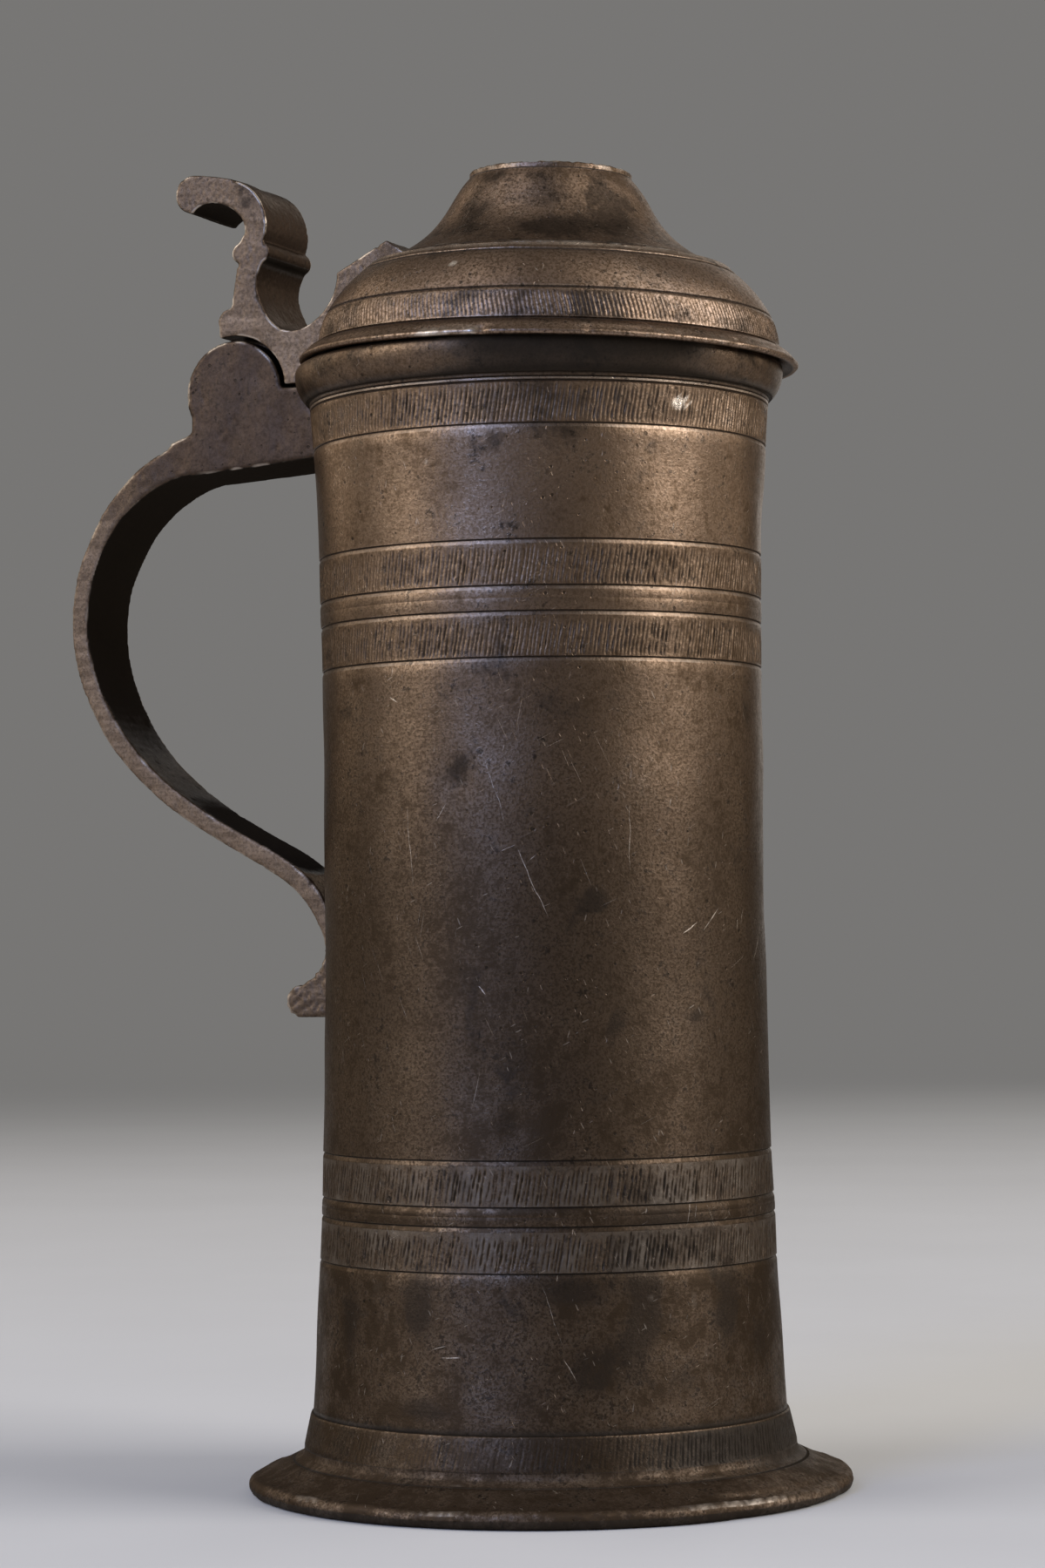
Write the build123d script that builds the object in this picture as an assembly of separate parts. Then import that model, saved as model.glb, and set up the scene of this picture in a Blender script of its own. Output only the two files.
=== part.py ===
from build123d import *
import math
import os

# Pewter flagon with a hinged lid, in millimetres
# The origin is on the barrel's axis, in the plane that the foot stands on.
# +Z is up, the handle points along -X and the hinge pin lies along Y.

# Fits
solder_gap = 0.05
pin_seat_gap = 0.02
pin_running_gap = 0.05
knuckle_gap = 0.6
knuckle_side_gap = 0.35
notch_gap = 1.0
bracket_foot_gap = 0.6

# Foot and bottom
foot_radius = 66.4
foot_rim_height = 4.2
foot_rim_round = 1.3
foot_tread_width = 9.0
foot_fillet = 2.8
foot_height = 10.0
bottom_thickness = 2.5
bottom_ledge_width = 3.4
bottom_ledge_thickness = 2.5

# Barrel, with heights measured up from its lower end
barrel_height = 229.6
barrel_wall = 2.4
barrel_foot_radius = 52.45
barrel_waist_radius = 48.5
barrel_mouth_radius = 51.0
barrel_waist_height = 130.0
lower_flare_power = 2.0
upper_flare_power = 3.5
base_band_height = 7.4
base_band_proud = 0.5
base_band_flare = 1.2
lower_bands_height = 40.9
lower_bands_spacing = 4.1
upper_bands_height = 169.9
upper_bands_spacing = 5.4
band_width = 9.7
mouth_band_height = 219.0
mouth_band_width = 8.6
turned_line_depth = 0.4
turned_line_width = 0.9
outline_samples = 9

# Mouth collar
collar_height = 8.2
collar_step = 0.8
collar_swell = 2.4
collar_bead_radius = 2.3

# Lid dome and brim, with heights measured up from the brim's edge
lid_nesting = 0.5
lid_forward_shift = 2.4
lid_droop_angle = 1.5
brim_overhang = 1.2
brim_edge_width = 1.4
brim_edge_thickness = 1.3
brim_reach = 4.2
brim_rise = 2.6
brim_thickness = 1.2
dome_height = 21.6
dome_wall = 2.0
dome_shoulder_radius = 40.7
dome_shoulder_chamfer = 0.5
dome_fullness = 2.0

# Lid crown and the disc that closes it
crown_height = 21.4
crown_wall = 2.0
crown_foot_radius = 37.5
crown_foot_step = 0.8
crown_flare_radius = 34.0
crown_flare_rise = 1.4
crown_middle_radius = 28.8
crown_middle_height = 5.7
crown_upper_radius = 23.8
crown_upper_height = 11.4
crown_shoulder_radius = 20.4
crown_shoulder_drop = 4.3
crown_lip_radius = 18.1
crown_lip_height = 1.4
crown_lip_width = 1.4
top_disc_thickness = 1.2
top_disc_ledge = 2.2

# Hinge
pin_from_collar = 16.6
pin_below_mouth = 2.8
pin_radius = 2.2
pin_plug_thickness = 1.5
hinge_width = 22.0
knuckle_width = 8.6
knuckle_radius = 11.6
lug_radius = 12.0
block_shelf_rise = 0.6
block_depth = 15.7
block_belly_drop = 17.6
block_neck_drop = 4.8
block_shoulder_drop = 8.6
block_shoulder_slope_drop = 10.4
block_shoulder_width = 5.2

# Handle strap: its centre line, as outward reach from the pin and drop below the pin
strap_thickness = 4.4
strap_foot_width = 14.5
strap_root_thickness = 7.6
strap_root_reach = 15.4
strap_root_drop = 15.1
strap_root_slope = 30.0
strap_shoulder_reach = 37.0
strap_shoulder_drop = 34.5
strap_reach = 41.0
strap_reach_drop = 52.0
strap_elbow_reach = 27.2
strap_elbow_drop = 83.4
strap_lower_reach = -0.8
strap_lower_drop = 102.9
strap_ankle_standout = 5.6
strap_ankle_drop = 114.0
strap_foot_drop = 124.5

# Handle terminal, standing out from the barrel
terminal_height = 17.0
terminal_reach = 12.1
terminal_pad_thickness = 2.6
terminal_pad_height = 3.5
terminal_bob_height = 7.2

# Lid bracket: outward reach and rise from the pin
bracket_heel_angle = 14.5
bracket_heel_reach = 3.7
bracket_heel_rise = 16.6
bracket_web_angle = 2.0
seat_rise = 19.4
seat_back_reach = 0.4
seat_front_reach = -7.5
saddle_reach = -16.2
saddle_rise = 13.4
saddle_side_reach = -24.1
saddle_side_rise = 18.7
tang_bend_reach = -26.2
tang_bend_rise = 25.4
tang_end_reach = -38.8
tang_end_rise = 31.9
tang_end_slope = 34.0

# Thumbpiece: outward reach from the pin and rise from its seat on the bracket
stem_height = 10.0
stem_back_reach = -1.3
stem_front_reach = -7.9
stem_waist_reach = -6.2
ridge_height = 4.6
ridge_depth = 1.5
scroll_hollow_reach = -3.0
scroll_hollow_rise = 18.7
scroll_throat_reach = 3.4
scroll_throat_rise = 24.0
scroll_tip_reach = 10.0
scroll_tip_rise = 26.7
scroll_tip_radius = 4.4
scroll_crest_reach = 2.9
scroll_crest_rise = 30.2
scroll_brow_reach = -5.1
scroll_brow_rise = 26.7
scroll_face_reach = -8.7
scroll_face_rise = 19.4

# Levels and radii that follow
barrel_top = foot_height + barrel_height
collar_top = barrel_top + collar_height
mouth_inner_radius = barrel_mouth_radius - barrel_wall
barrel_base_radius = barrel_foot_radius + base_band_proud + base_band_flare
bottom_radius = barrel_base_radius - barrel_wall - solder_gap
collar_foot_radius = barrel_mouth_radius + collar_step
collar_radius = collar_foot_radius + collar_swell
brim_radius = collar_radius + brim_overhang
dome_root_radius = brim_radius - brim_reach
dome_root_height = brim_edge_thickness + brim_rise
crown_bore_radius = crown_flare_radius - crown_wall
top_disc_radius = crown_lip_radius - crown_lip_width - solder_gap
pin_reach = collar_radius + pin_from_collar
pin_level = collar_top - pin_below_mouth
notch_radius = lug_radius + notch_gap
lower_seam = lower_bands_height + band_width + lower_bands_spacing / 2
upper_seam = upper_bands_height + band_width + upper_bands_spacing / 2
lid_place = Pos(lid_forward_shift, 0, collar_top - lid_nesting) * Rot(0, lid_droop_angle, 0)


def turned(outline):
    """A solid turned about Z from an outline of (radius, height)."""
    return revolve(make_face(Plane.XZ * outline), Axis.Z)


def plate(outline, width):
    """A plate across Y from an outline in the XZ plane."""
    return extrude(make_face(Plane.XZ * outline), amount=width / 2, both=True)


def beside_pin(reach, rise):
    """A point in the XZ plane, by its outward reach and its rise from the hinge pin."""
    return (-pin_reach - reach, pin_level + rise)


def pin_cylinder(radius, length):
    """A cylinder along the hinge pin's axis, centred on the handle's plane."""
    return Pos(-pin_reach, 0, pin_level) * Rot(90, 0, 0) * Cylinder(radius, length)


def shifted(points, distances):
    """Each point moved to the right of the line through its neighbours."""
    moved = []
    for place, (point, distance) in enumerate(zip(points, distances)):
        before = points[max(place - 1, 0)]
        after = points[min(place + 1, len(points) - 1)]
        along = (after[0] - before[0], after[1] - before[1])
        length = math.hypot(*along)
        moved.append((point[0] + along[1] / length * distance, point[1] - along[0] / length * distance))
    return moved


def barrel_radius(height):
    """Outer radius of the barrel: a parabola below the waist and a sharper flare above it."""
    if height < barrel_waist_height:
        share = (barrel_waist_height - height) / barrel_waist_height
        return barrel_waist_radius + (barrel_foot_radius - barrel_waist_radius) * share**lower_flare_power
    share = (height - barrel_waist_height) / (barrel_height - barrel_waist_height)
    return barrel_waist_radius + (barrel_mouth_radius - barrel_waist_radius) * share**upper_flare_power


def barrel_curve(growth):
    """Points up the barrel from the base band to the mouth, moved outwards by growth."""
    points = []
    for sample in range(outline_samples):
        height = base_band_height + (barrel_height - base_band_height) * sample / (outline_samples - 1)
        points.append((barrel_radius(height) + growth, foot_height + height))
    return points


def collar_outline(growth):
    """The collar's outer line: a swelling side and a round bead at the top."""
    bead_level = collar_top - collar_bead_radius
    widest = (collar_radius + growth, bead_level)
    side = TangentArc(widest, (collar_foot_radius + growth, barrel_top), tangent=(0, -1))
    bead_end = (collar_radius - collar_bead_radius, collar_top + growth)
    bead = TangentArc(widest, bead_end, tangent=(0, 1))
    return side, bead, bead_end


def make_foot_ring():
    rim_inner = foot_radius - foot_rim_round
    rim_shoulder = foot_rim_height - foot_rim_round
    fillet_start = (barrel_base_radius + foot_fillet, foot_height - foot_fillet)
    ledge_level = foot_height - bottom_thickness
    ledge_radius = bottom_radius - bottom_ledge_width
    pocket_radius = bottom_radius + solder_gap
    tread = Line((foot_radius - foot_tread_width, 0), (rim_inner, 0))
    rim_low = TangentArc((rim_inner, 0), (foot_radius, foot_rim_round), tangent=(1, 0))
    rim_side = Line((foot_radius, foot_rim_round), (foot_radius, rim_shoulder))
    rim_high = TangentArc((foot_radius, rim_shoulder), (rim_inner, foot_rim_height), tangent=(0, 1))
    top = Line((rim_inner, foot_rim_height), fillet_start)
    fillet_arc = TangentArc((barrel_base_radius, foot_height), fillet_start, tangent=(0, -1))
    seat = Polyline(
        (barrel_base_radius, foot_height),
        (pocket_radius, foot_height),
        (pocket_radius, ledge_level),
        (ledge_radius, ledge_level),
        (ledge_radius, ledge_level - bottom_ledge_thickness),
        (foot_radius - foot_tread_width, 0),
    )
    return turned(tread + rim_low + rim_side + rim_high + top + fillet_arc + seat)


def make_bottom_plate():
    return Pos(0, 0, foot_height - bottom_thickness / 2) * Cylinder(bottom_radius, bottom_thickness)


def turned_line(height):
    """A cutter for one incised line round the barrel."""
    radius = barrel_radius(height)
    level = foot_height + height
    mouth = radius + turned_line_depth
    corners = (
        (radius - turned_line_depth, level),
        (mouth, level - turned_line_width),
        (mouth, level + turned_line_width),
    )
    return turned(Polyline(*corners, close=True))


def make_barrel():
    """The barrel's wall, with the lines that border its bands."""
    outer = barrel_curve(0)
    inner = barrel_curve(-barrel_wall)
    base = Polyline(
        (barrel_base_radius - barrel_wall, foot_height),
        (barrel_base_radius, foot_height),
        (outer[0][0] + base_band_proud, outer[0][1]),
        outer[0],
    )
    closing = Line(inner[0], (barrel_base_radius - barrel_wall, foot_height))
    wall = turned(base + Spline(*outer) + Line(outer[-1], inner[-1]) + Spline(*reversed(inner)) + closing)
    doubles = ((lower_bands_height, lower_bands_spacing), (upper_bands_height, upper_bands_spacing))
    for start, spacing in doubles:
        for band_start in (start, start + band_width + spacing):
            wall -= turned_line(band_start)
            wall -= turned_line(band_start + band_width)
    wall -= turned_line(mouth_band_height)
    wall -= turned_line(mouth_band_height + mouth_band_width)
    return wall


def barrel_drum(barrel, low, high):
    """The part of the barrel between two heights."""
    slab_width = 2 * foot_radius
    middle = foot_height + (low + high) / 2
    return barrel & (Pos(0, 0, middle) * Box(slab_width, slab_width, high - low))


def make_mouth_collar():
    side, bead, bead_end = collar_outline(0)
    inside = Polyline(
        bead_end,
        (mouth_inner_radius, collar_top),
        (mouth_inner_radius, barrel_top),
        (collar_foot_radius, barrel_top),
    )
    return turned(side + bead + inside)


def make_vessel_envelope():
    """Barrel and collar without their hollow, a solder gap larger, for trimming what is soldered on."""
    curve = barrel_curve(solder_gap)
    side, bead, bead_end = collar_outline(solder_gap)
    foot = Polyline((0, curve[0][1]), curve[0])
    step = Line(curve[-1], (collar_foot_radius + solder_gap, barrel_top))
    axis = Polyline(bead_end, (0, bead_end[1]), (0, curve[0][1]))
    return turned(foot + Spline(*curve) + step + side + bead + axis)


def dome_curve():
    """Points up the dome from the brim's root to the shoulder."""
    top = dome_height - dome_shoulder_chamfer
    points = []
    for sample in range(outline_samples):
        share = sample / (outline_samples - 1)
        radius = dome_root_radius - (dome_root_radius - dome_shoulder_radius) * share**dome_fullness
        points.append((radius, dome_root_height + (top - dome_root_height) * share))
    return points


def brim_outline():
    """The brim's outer line, from its lower edge to its root."""
    edge_round = brim_edge_thickness / 2
    low = (brim_radius - edge_round, 0)
    high = (brim_radius - edge_round, brim_edge_thickness)
    edge = ThreePointArc(low, (brim_radius, edge_round), high)
    return low, edge, Line(high, (dome_root_radius, dome_root_height))


def make_lid_dome():
    outer = dome_curve()
    inner = shifted(outer, [-dome_wall] * len(outer))
    low, edge, slope = brim_outline()
    edge_inner = (brim_radius - brim_edge_width, 0)
    under_root = (dome_root_radius - brim_thickness, dome_root_height - brim_thickness)
    top = Polyline(
        outer[-1],
        (dome_shoulder_radius - dome_shoulder_chamfer, dome_height),
        (crown_bore_radius, dome_height),
        (crown_bore_radius, dome_height - dome_wall),
        inner[-1],
    )
    under = Polyline(inner[0], under_root, edge_inner, low)
    return lid_place * turned(edge + slope + Spline(*outer) + top + Spline(*reversed(inner)) + under)


def crown_curve():
    """Points up the crown's side, from its hollow foot to its round shoulder."""
    return [
        (crown_flare_radius, dome_height + crown_foot_step + crown_flare_rise),
        (crown_middle_radius, dome_height + crown_middle_height),
        (crown_upper_radius, dome_height + crown_upper_height),
        (crown_shoulder_radius, dome_height + crown_height - crown_shoulder_drop),
    ]


def crown_outline():
    """The crown's outer line, from its foot to the lip's top."""
    curve = crown_curve()
    lip_foot = (crown_lip_radius, dome_height + crown_height - crown_lip_height)
    foot = Polyline((crown_foot_radius, dome_height), (crown_foot_radius, dome_height + crown_foot_step), curve[0])
    lip = Line(lip_foot, (crown_lip_radius, dome_height + crown_height))
    return foot + Spline(*curve, lip_foot) + lip


def make_lid_crown():
    top = dome_height + crown_height
    ledge_level = top - crown_lip_height
    bore = crown_lip_radius - crown_lip_width
    hollow = shifted(crown_curve(), [-crown_wall] * len(crown_curve()))
    inside = Polyline(
        (crown_lip_radius, top),
        (bore, top),
        (bore, ledge_level),
        (bore - top_disc_ledge, ledge_level),
        (bore - top_disc_ledge, ledge_level - crown_wall),
        hollow[-1],
    )
    foot = Polyline(hollow[0], (crown_bore_radius, dome_height), (crown_foot_radius, dome_height))
    return lid_place * turned(crown_outline() + inside + Spline(*reversed(hollow)) + foot)


def make_lid_top_disc():
    level = dome_height + crown_height - crown_lip_height + top_disc_thickness / 2
    return lid_place * Pos(0, 0, level) * Cylinder(top_disc_radius, top_disc_thickness)


def make_lid_envelope():
    """Dome and crown without their hollow, for trimming the bracket."""
    outer = dome_curve()
    low, edge, slope = brim_outline()
    shoulder = Polyline(
        outer[-1],
        (dome_shoulder_radius - dome_shoulder_chamfer, dome_height),
        (crown_foot_radius, dome_height),
    )
    top = dome_height + crown_height
    axis = Polyline((crown_lip_radius, top), (0, top), (0, 0), low)
    return lid_place * turned(edge + slope + Spline(*outer) + shoulder + crown_outline() + axis)


def strap_root():
    """The two corners where the strap leaves the hinge block: inner, then outer."""
    slope = math.radians(strap_root_slope)
    half = strap_root_thickness / 2
    across = (math.sin(slope) * half, math.cos(slope) * half)
    inner = (strap_root_reach - across[0], -strap_root_drop - across[1])
    outer = (strap_root_reach + across[0], -strap_root_drop + across[1])
    return inner, outer


def make_hinge_block(vessel):
    root_inner, root_outer = strap_root()
    buried = -pin_from_collar - collar_swell - barrel_wall
    shelf_start = -math.sqrt(lug_radius**2 - block_shelf_rise**2)
    neck_reach = math.sqrt(lug_radius**2 - block_neck_drop**2)
    neck = beside_pin(neck_reach, -block_neck_drop)
    belly = Spline(
        beside_pin(buried, -block_depth),
        beside_pin(0, -block_belly_drop),
        beside_pin(*root_inner),
    )
    back = Polyline(
        beside_pin(*root_inner),
        beside_pin(*root_outer),
        beside_pin(neck_reach + block_shoulder_width, -block_shoulder_slope_drop),
        beside_pin(neck_reach, -block_shoulder_drop),
        neck,
    )
    lug = ThreePointArc(neck, beside_pin(0, lug_radius), beside_pin(shelf_start, block_shelf_rise))
    shelf = Polyline(
        beside_pin(shelf_start, block_shelf_rise),
        beside_pin(buried, block_shelf_rise),
        beside_pin(buried, -block_depth),
    )
    block = plate(belly + back + lug + shelf, hinge_width)
    block -= pin_cylinder(knuckle_radius + knuckle_gap, knuckle_width + 2 * knuckle_side_gap)
    block -= pin_cylinder(pin_radius + pin_seat_gap, 2 * hinge_width)
    return block - vessel


def make_hinge_pin():
    return pin_cylinder(pin_radius, hinge_width - 2 * pin_plug_thickness)


def make_pin_plugs():
    """The two plugs that close the pin's bore, flush with the lugs."""
    middle = (hinge_width - pin_plug_thickness) / 2
    plug = pin_cylinder(pin_radius, pin_plug_thickness)
    return Compound(children=[Pos(0, -middle, 0) * plug, Pos(0, middle, 0) * plug])


def make_handle_strap(vessel):
    ankle_height = pin_level - strap_ankle_drop - foot_height
    ankle_reach = barrel_radius(ankle_height) + strap_ankle_standout - pin_reach
    end_height = pin_level - strap_foot_drop - foot_height
    end_reach = barrel_radius(end_height) + terminal_pad_thickness / 2 - pin_reach
    line = [
        (strap_root_reach, -strap_root_drop),
        (strap_shoulder_reach, -strap_shoulder_drop),
        (strap_reach, -strap_reach_drop),
        (strap_elbow_reach, -strap_elbow_drop),
        (strap_lower_reach, -strap_lower_drop),
        (ankle_reach, -strap_ankle_drop),
        (end_reach, -strap_foot_drop),
    ]
    half = [strap_thickness / 2] * (len(line) - 1) + [terminal_pad_thickness / 2]
    inner = [strap_root()[0]] + shifted(line, half)[1:]
    outer = [strap_root()[1]] + shifted(line, [-distance for distance in half])[1:]
    inner_points = [beside_pin(*point) for point in inner]
    outer_points = [beside_pin(*point) for point in reversed(outer)]
    outline = Spline(*inner_points) + Line(inner_points[-1], outer_points[0])
    outline += Spline(*outer_points) + Line(outer_points[-1], inner_points[0])
    foot_level = pin_level - strap_foot_drop + solder_gap
    front = Polyline(
        (-hinge_width / 2, pin_level),
        (hinge_width / 2, pin_level),
        (hinge_width / 2, pin_level - strap_root_drop),
        (strap_foot_width / 2, foot_level),
        (-strap_foot_width / 2, foot_level),
        (-hinge_width / 2, pin_level - strap_root_drop),
        close=True,
    )
    tapered = extrude(make_face(Plane.YZ * front), amount=2 * (pin_reach + strap_reach), both=True)
    return (plate(outline, hinge_width) & tapered) - vessel


def make_handle_terminal(vessel):
    top = pin_level - strap_foot_drop
    bottom = top - terminal_height
    surface = barrel_radius(top - foot_height)

    def out(depth, level):
        return (-surface - depth, level)

    bob_top = out(terminal_reach - terminal_bob_height / 2, bottom + terminal_bob_height)
    bob_bottom = out(terminal_reach - terminal_bob_height / 2, bottom)
    bob_tip = out(terminal_reach, bottom + terminal_bob_height / 2)
    pad_top = out(terminal_pad_thickness, top)
    pad_bottom = out(terminal_pad_thickness, top - terminal_pad_height)
    buried = -barrel_wall
    outline = Line(out(buried, top), pad_top) + Spline(pad_top, pad_bottom, bob_top)
    outline += ThreePointArc(bob_top, bob_tip, bob_bottom)
    outline += Polyline(bob_bottom, out(buried, bottom), out(buried, top))
    return plate(outline, strap_foot_width) - vessel


def around_pin(angle, radius):
    """A point in the XZ plane at an angle outwards from straight above the pin."""
    turn = math.radians(angle)
    return beside_pin(radius * math.sin(turn), radius * math.cos(turn))


def make_lid_bracket(lid):
    foot_rise = block_shelf_rise + bracket_foot_gap
    foot_angle = -math.degrees(math.acos(foot_rise / notch_radius))
    middle_angle = (bracket_heel_angle + foot_angle) / 2
    foot_inner = bracket_foot_gap - pin_from_collar
    lid_reach = -pin_reach - lid_forward_shift
    lid_rise = pin_below_mouth - lid_nesting + brim_radius * math.sin(math.radians(lid_droop_angle))
    edge_reach = lid_reach + brim_radius - brim_edge_width
    root_reach = lid_reach + dome_root_radius - dome_wall
    buried_reach = lid_reach + crown_shoulder_radius
    buried_drop = (tang_end_reach - buried_reach) * math.tan(math.radians(tang_end_slope))
    heel = around_pin(bracket_heel_angle, notch_radius)
    foot = around_pin(foot_angle, notch_radius)
    notch = ThreePointArc(heel, around_pin(middle_angle, notch_radius), foot)
    inside = Polyline(
        foot,
        beside_pin(foot_inner, foot_rise),
        beside_pin(foot_inner, pin_below_mouth),
        beside_pin(edge_reach, lid_rise + brim_edge_thickness),
        beside_pin(root_reach, lid_rise + dome_root_height),
        beside_pin(buried_reach, lid_rise + dome_root_height),
        beside_pin(buried_reach, tang_end_rise - buried_drop),
        beside_pin(tang_end_reach, tang_end_rise),
        beside_pin(tang_bend_reach, tang_bend_rise),
    )
    saddle = Spline(
        beside_pin(tang_bend_reach, tang_bend_rise),
        beside_pin(saddle_side_reach, saddle_side_rise),
        beside_pin(saddle_reach, saddle_rise),
        beside_pin(seat_front_reach, seat_rise),
    )
    seat = Line(beside_pin(seat_front_reach, seat_rise), beside_pin(seat_back_reach, seat_rise))
    heel_top = beside_pin(bracket_heel_reach, bracket_heel_rise)
    back = TangentArc(beside_pin(seat_back_reach, seat_rise), heel_top, tangent=(-1, 0)) + Line(heel_top, heel)
    bracket = plate(notch + inside + saddle + seat + back, hinge_width) - lid
    web_radius = notch_radius + notch_gap
    web_back = around_pin(bracket_web_angle, web_radius)
    web_foot = around_pin(foot_angle, web_radius)
    web = Line(beside_pin(0, 0), web_back)
    web += ThreePointArc(web_back, around_pin(middle_angle, web_radius), web_foot)
    web += Line(web_foot, beside_pin(0, 0))
    bracket += plate(web, knuckle_width)
    bracket += pin_cylinder(knuckle_radius, knuckle_width)
    return bracket - pin_cylinder(pin_radius + pin_running_gap, hinge_width)


def make_thumbpiece():
    def above_seat(reach, rise):
        return beside_pin(reach, seat_rise + rise)

    ridge_top = stem_height + ridge_height
    ridge_middle = stem_height + ridge_height / 2
    stem_back = above_seat(stem_back_reach, stem_height)
    stem_front = above_seat(stem_front_reach, stem_height)
    ridge_back = above_seat(stem_back_reach, ridge_top)
    ridge_front = above_seat(stem_front_reach, ridge_top)
    tip_low = above_seat(scroll_tip_reach, scroll_tip_rise - scroll_tip_radius)
    tip_end = above_seat(scroll_tip_reach + scroll_tip_radius, scroll_tip_rise)
    tip_high = above_seat(scroll_tip_reach, scroll_tip_rise + scroll_tip_radius)
    outline = Line(above_seat(seat_front_reach, 0), above_seat(seat_back_reach, 0))
    outline += Line(above_seat(seat_back_reach, 0), stem_back)
    outline += ThreePointArc(stem_back, above_seat(stem_back_reach + ridge_depth, ridge_middle), ridge_back)
    outline += Spline(
        ridge_back,
        above_seat(scroll_hollow_reach, scroll_hollow_rise),
        above_seat(scroll_throat_reach, scroll_throat_rise),
        tip_low,
    )
    outline += ThreePointArc(tip_low, tip_end, tip_high)
    outline += Spline(
        tip_high,
        above_seat(scroll_crest_reach, scroll_crest_rise),
        above_seat(scroll_brow_reach, scroll_brow_rise),
        above_seat(scroll_face_reach, scroll_face_rise),
        ridge_front,
    )
    outline += ThreePointArc(ridge_front, above_seat(stem_front_reach - ridge_depth, ridge_middle), stem_front)
    outline += Spline(
        stem_front,
        above_seat(stem_waist_reach, stem_height / 2),
        above_seat(seat_front_reach, 0),
    )
    return plate(outline, hinge_width)


barrel = make_barrel()
vessel_envelope = make_vessel_envelope()
lid_envelope = make_lid_envelope()
nodes = {
    "foot_ring": make_foot_ring(),
    "bottom_plate": make_bottom_plate(),
    "barrel_lower": barrel_drum(barrel, 0, lower_seam),
    "barrel_middle": barrel_drum(barrel, lower_seam, upper_seam),
    "barrel_upper": barrel_drum(barrel, upper_seam, barrel_height),
    "mouth_collar": make_mouth_collar(),
    "hinge_block": make_hinge_block(vessel_envelope),
    "handle_strap": make_handle_strap(vessel_envelope),
    "handle_terminal": make_handle_terminal(vessel_envelope),
    "hinge_pin": make_hinge_pin(),
    "pin_plugs": make_pin_plugs(),
    "lid_dome": make_lid_dome(),
    "lid_crown": make_lid_crown(),
    "lid_top_disc": make_lid_top_disc(),
    "lid_bracket": make_lid_bracket(lid_envelope),
    "thumbpiece": make_thumbpiece(),
}
os.makedirs("parts", exist_ok=True)
for name, solid in nodes.items():
    export_step(solid, f"parts/{name}.step")
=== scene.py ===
import math

import bmesh
import bpy
import numpy as np
from mathutils import Matrix, Vector


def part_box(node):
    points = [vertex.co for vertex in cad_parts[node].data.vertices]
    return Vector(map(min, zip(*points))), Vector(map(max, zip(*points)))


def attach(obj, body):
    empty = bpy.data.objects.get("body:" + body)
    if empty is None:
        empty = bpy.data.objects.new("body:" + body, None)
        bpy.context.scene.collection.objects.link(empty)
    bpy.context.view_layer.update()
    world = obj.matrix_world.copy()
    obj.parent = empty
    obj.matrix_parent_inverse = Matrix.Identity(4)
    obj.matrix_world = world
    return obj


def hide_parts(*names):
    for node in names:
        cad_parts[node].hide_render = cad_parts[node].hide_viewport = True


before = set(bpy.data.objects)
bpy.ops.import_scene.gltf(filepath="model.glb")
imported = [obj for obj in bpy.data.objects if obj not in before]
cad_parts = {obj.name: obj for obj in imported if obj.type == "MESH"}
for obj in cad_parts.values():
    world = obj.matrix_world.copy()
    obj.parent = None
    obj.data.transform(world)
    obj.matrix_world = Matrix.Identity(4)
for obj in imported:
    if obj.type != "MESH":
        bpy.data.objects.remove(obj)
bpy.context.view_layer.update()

# Shapes are worked out in millimetres and turned into metres when a mesh is made
MM = 0.001

# Levels and radii read from the solids
foot_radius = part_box("foot_ring")[1].y / MM
foot_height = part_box("barrel_lower")[0].z / MM
lower_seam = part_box("barrel_middle")[0].z / MM
upper_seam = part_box("barrel_upper")[0].z / MM
barrel_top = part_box("barrel_upper")[1].z / MM
barrel_base_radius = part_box("barrel_lower")[1].y / MM
barrel_mouth_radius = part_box("barrel_upper")[1].y / MM
collar_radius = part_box("mouth_collar")[1].y / MM
collar_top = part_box("mouth_collar")[1].z / MM
bottom_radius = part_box("bottom_plate")[1].y / MM
bottom_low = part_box("bottom_plate")[0].z / MM
bottom_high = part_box("bottom_plate")[1].z / MM
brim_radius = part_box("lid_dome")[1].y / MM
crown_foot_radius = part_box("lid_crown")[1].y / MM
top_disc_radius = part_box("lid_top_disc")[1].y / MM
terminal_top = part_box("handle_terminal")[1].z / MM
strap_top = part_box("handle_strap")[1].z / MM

# Foot
foot_rim_height = 4.2
foot_rim_round = 1.9
foot_rim_inner = foot_radius - foot_rim_round
foot_tread_width = 9.0
foot_fillet = 2.8
foot_fillet_outer = barrel_base_radius + foot_fillet
foot_fillet_low = foot_height - foot_fillet
foot_line_width = 0.9
foot_line_depth = 0.35
foot_hollow = 0.15
ledge_width = 3.4
ledge_thickness = 2.5
ledge_gap = 0.05

# Barrel
barrel_wall = 2.4
barrel_foot_radius = 52.45
barrel_waist_radius = 48.5
barrel_waist_level = foot_height + 130.0
lower_flare_power = 2.0
upper_flare_power = 3.5
base_band_top = foot_height + 7.4
base_band_proud = 0.5
base_band_step = 0.12
base_stroke_levels = (foot_height + 0.5, base_band_top - 0.4)
seam_gap = 0.2
lower_band_levels = (50.9, 60.6, 64.7, 74.4)
upper_band_levels = (179.9, 189.6, 195.0, 204.7)
mouth_band_levels = (229.0, 237.6)

# Turned lines: a steep wall above and a long slope below
line_wall = 0.14
line_depth = 0.36
line_slope = 1.05
fillet_swell = 0.06

# Level and height over which the turned lines get brighter
line_shine = (80, 100)

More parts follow.
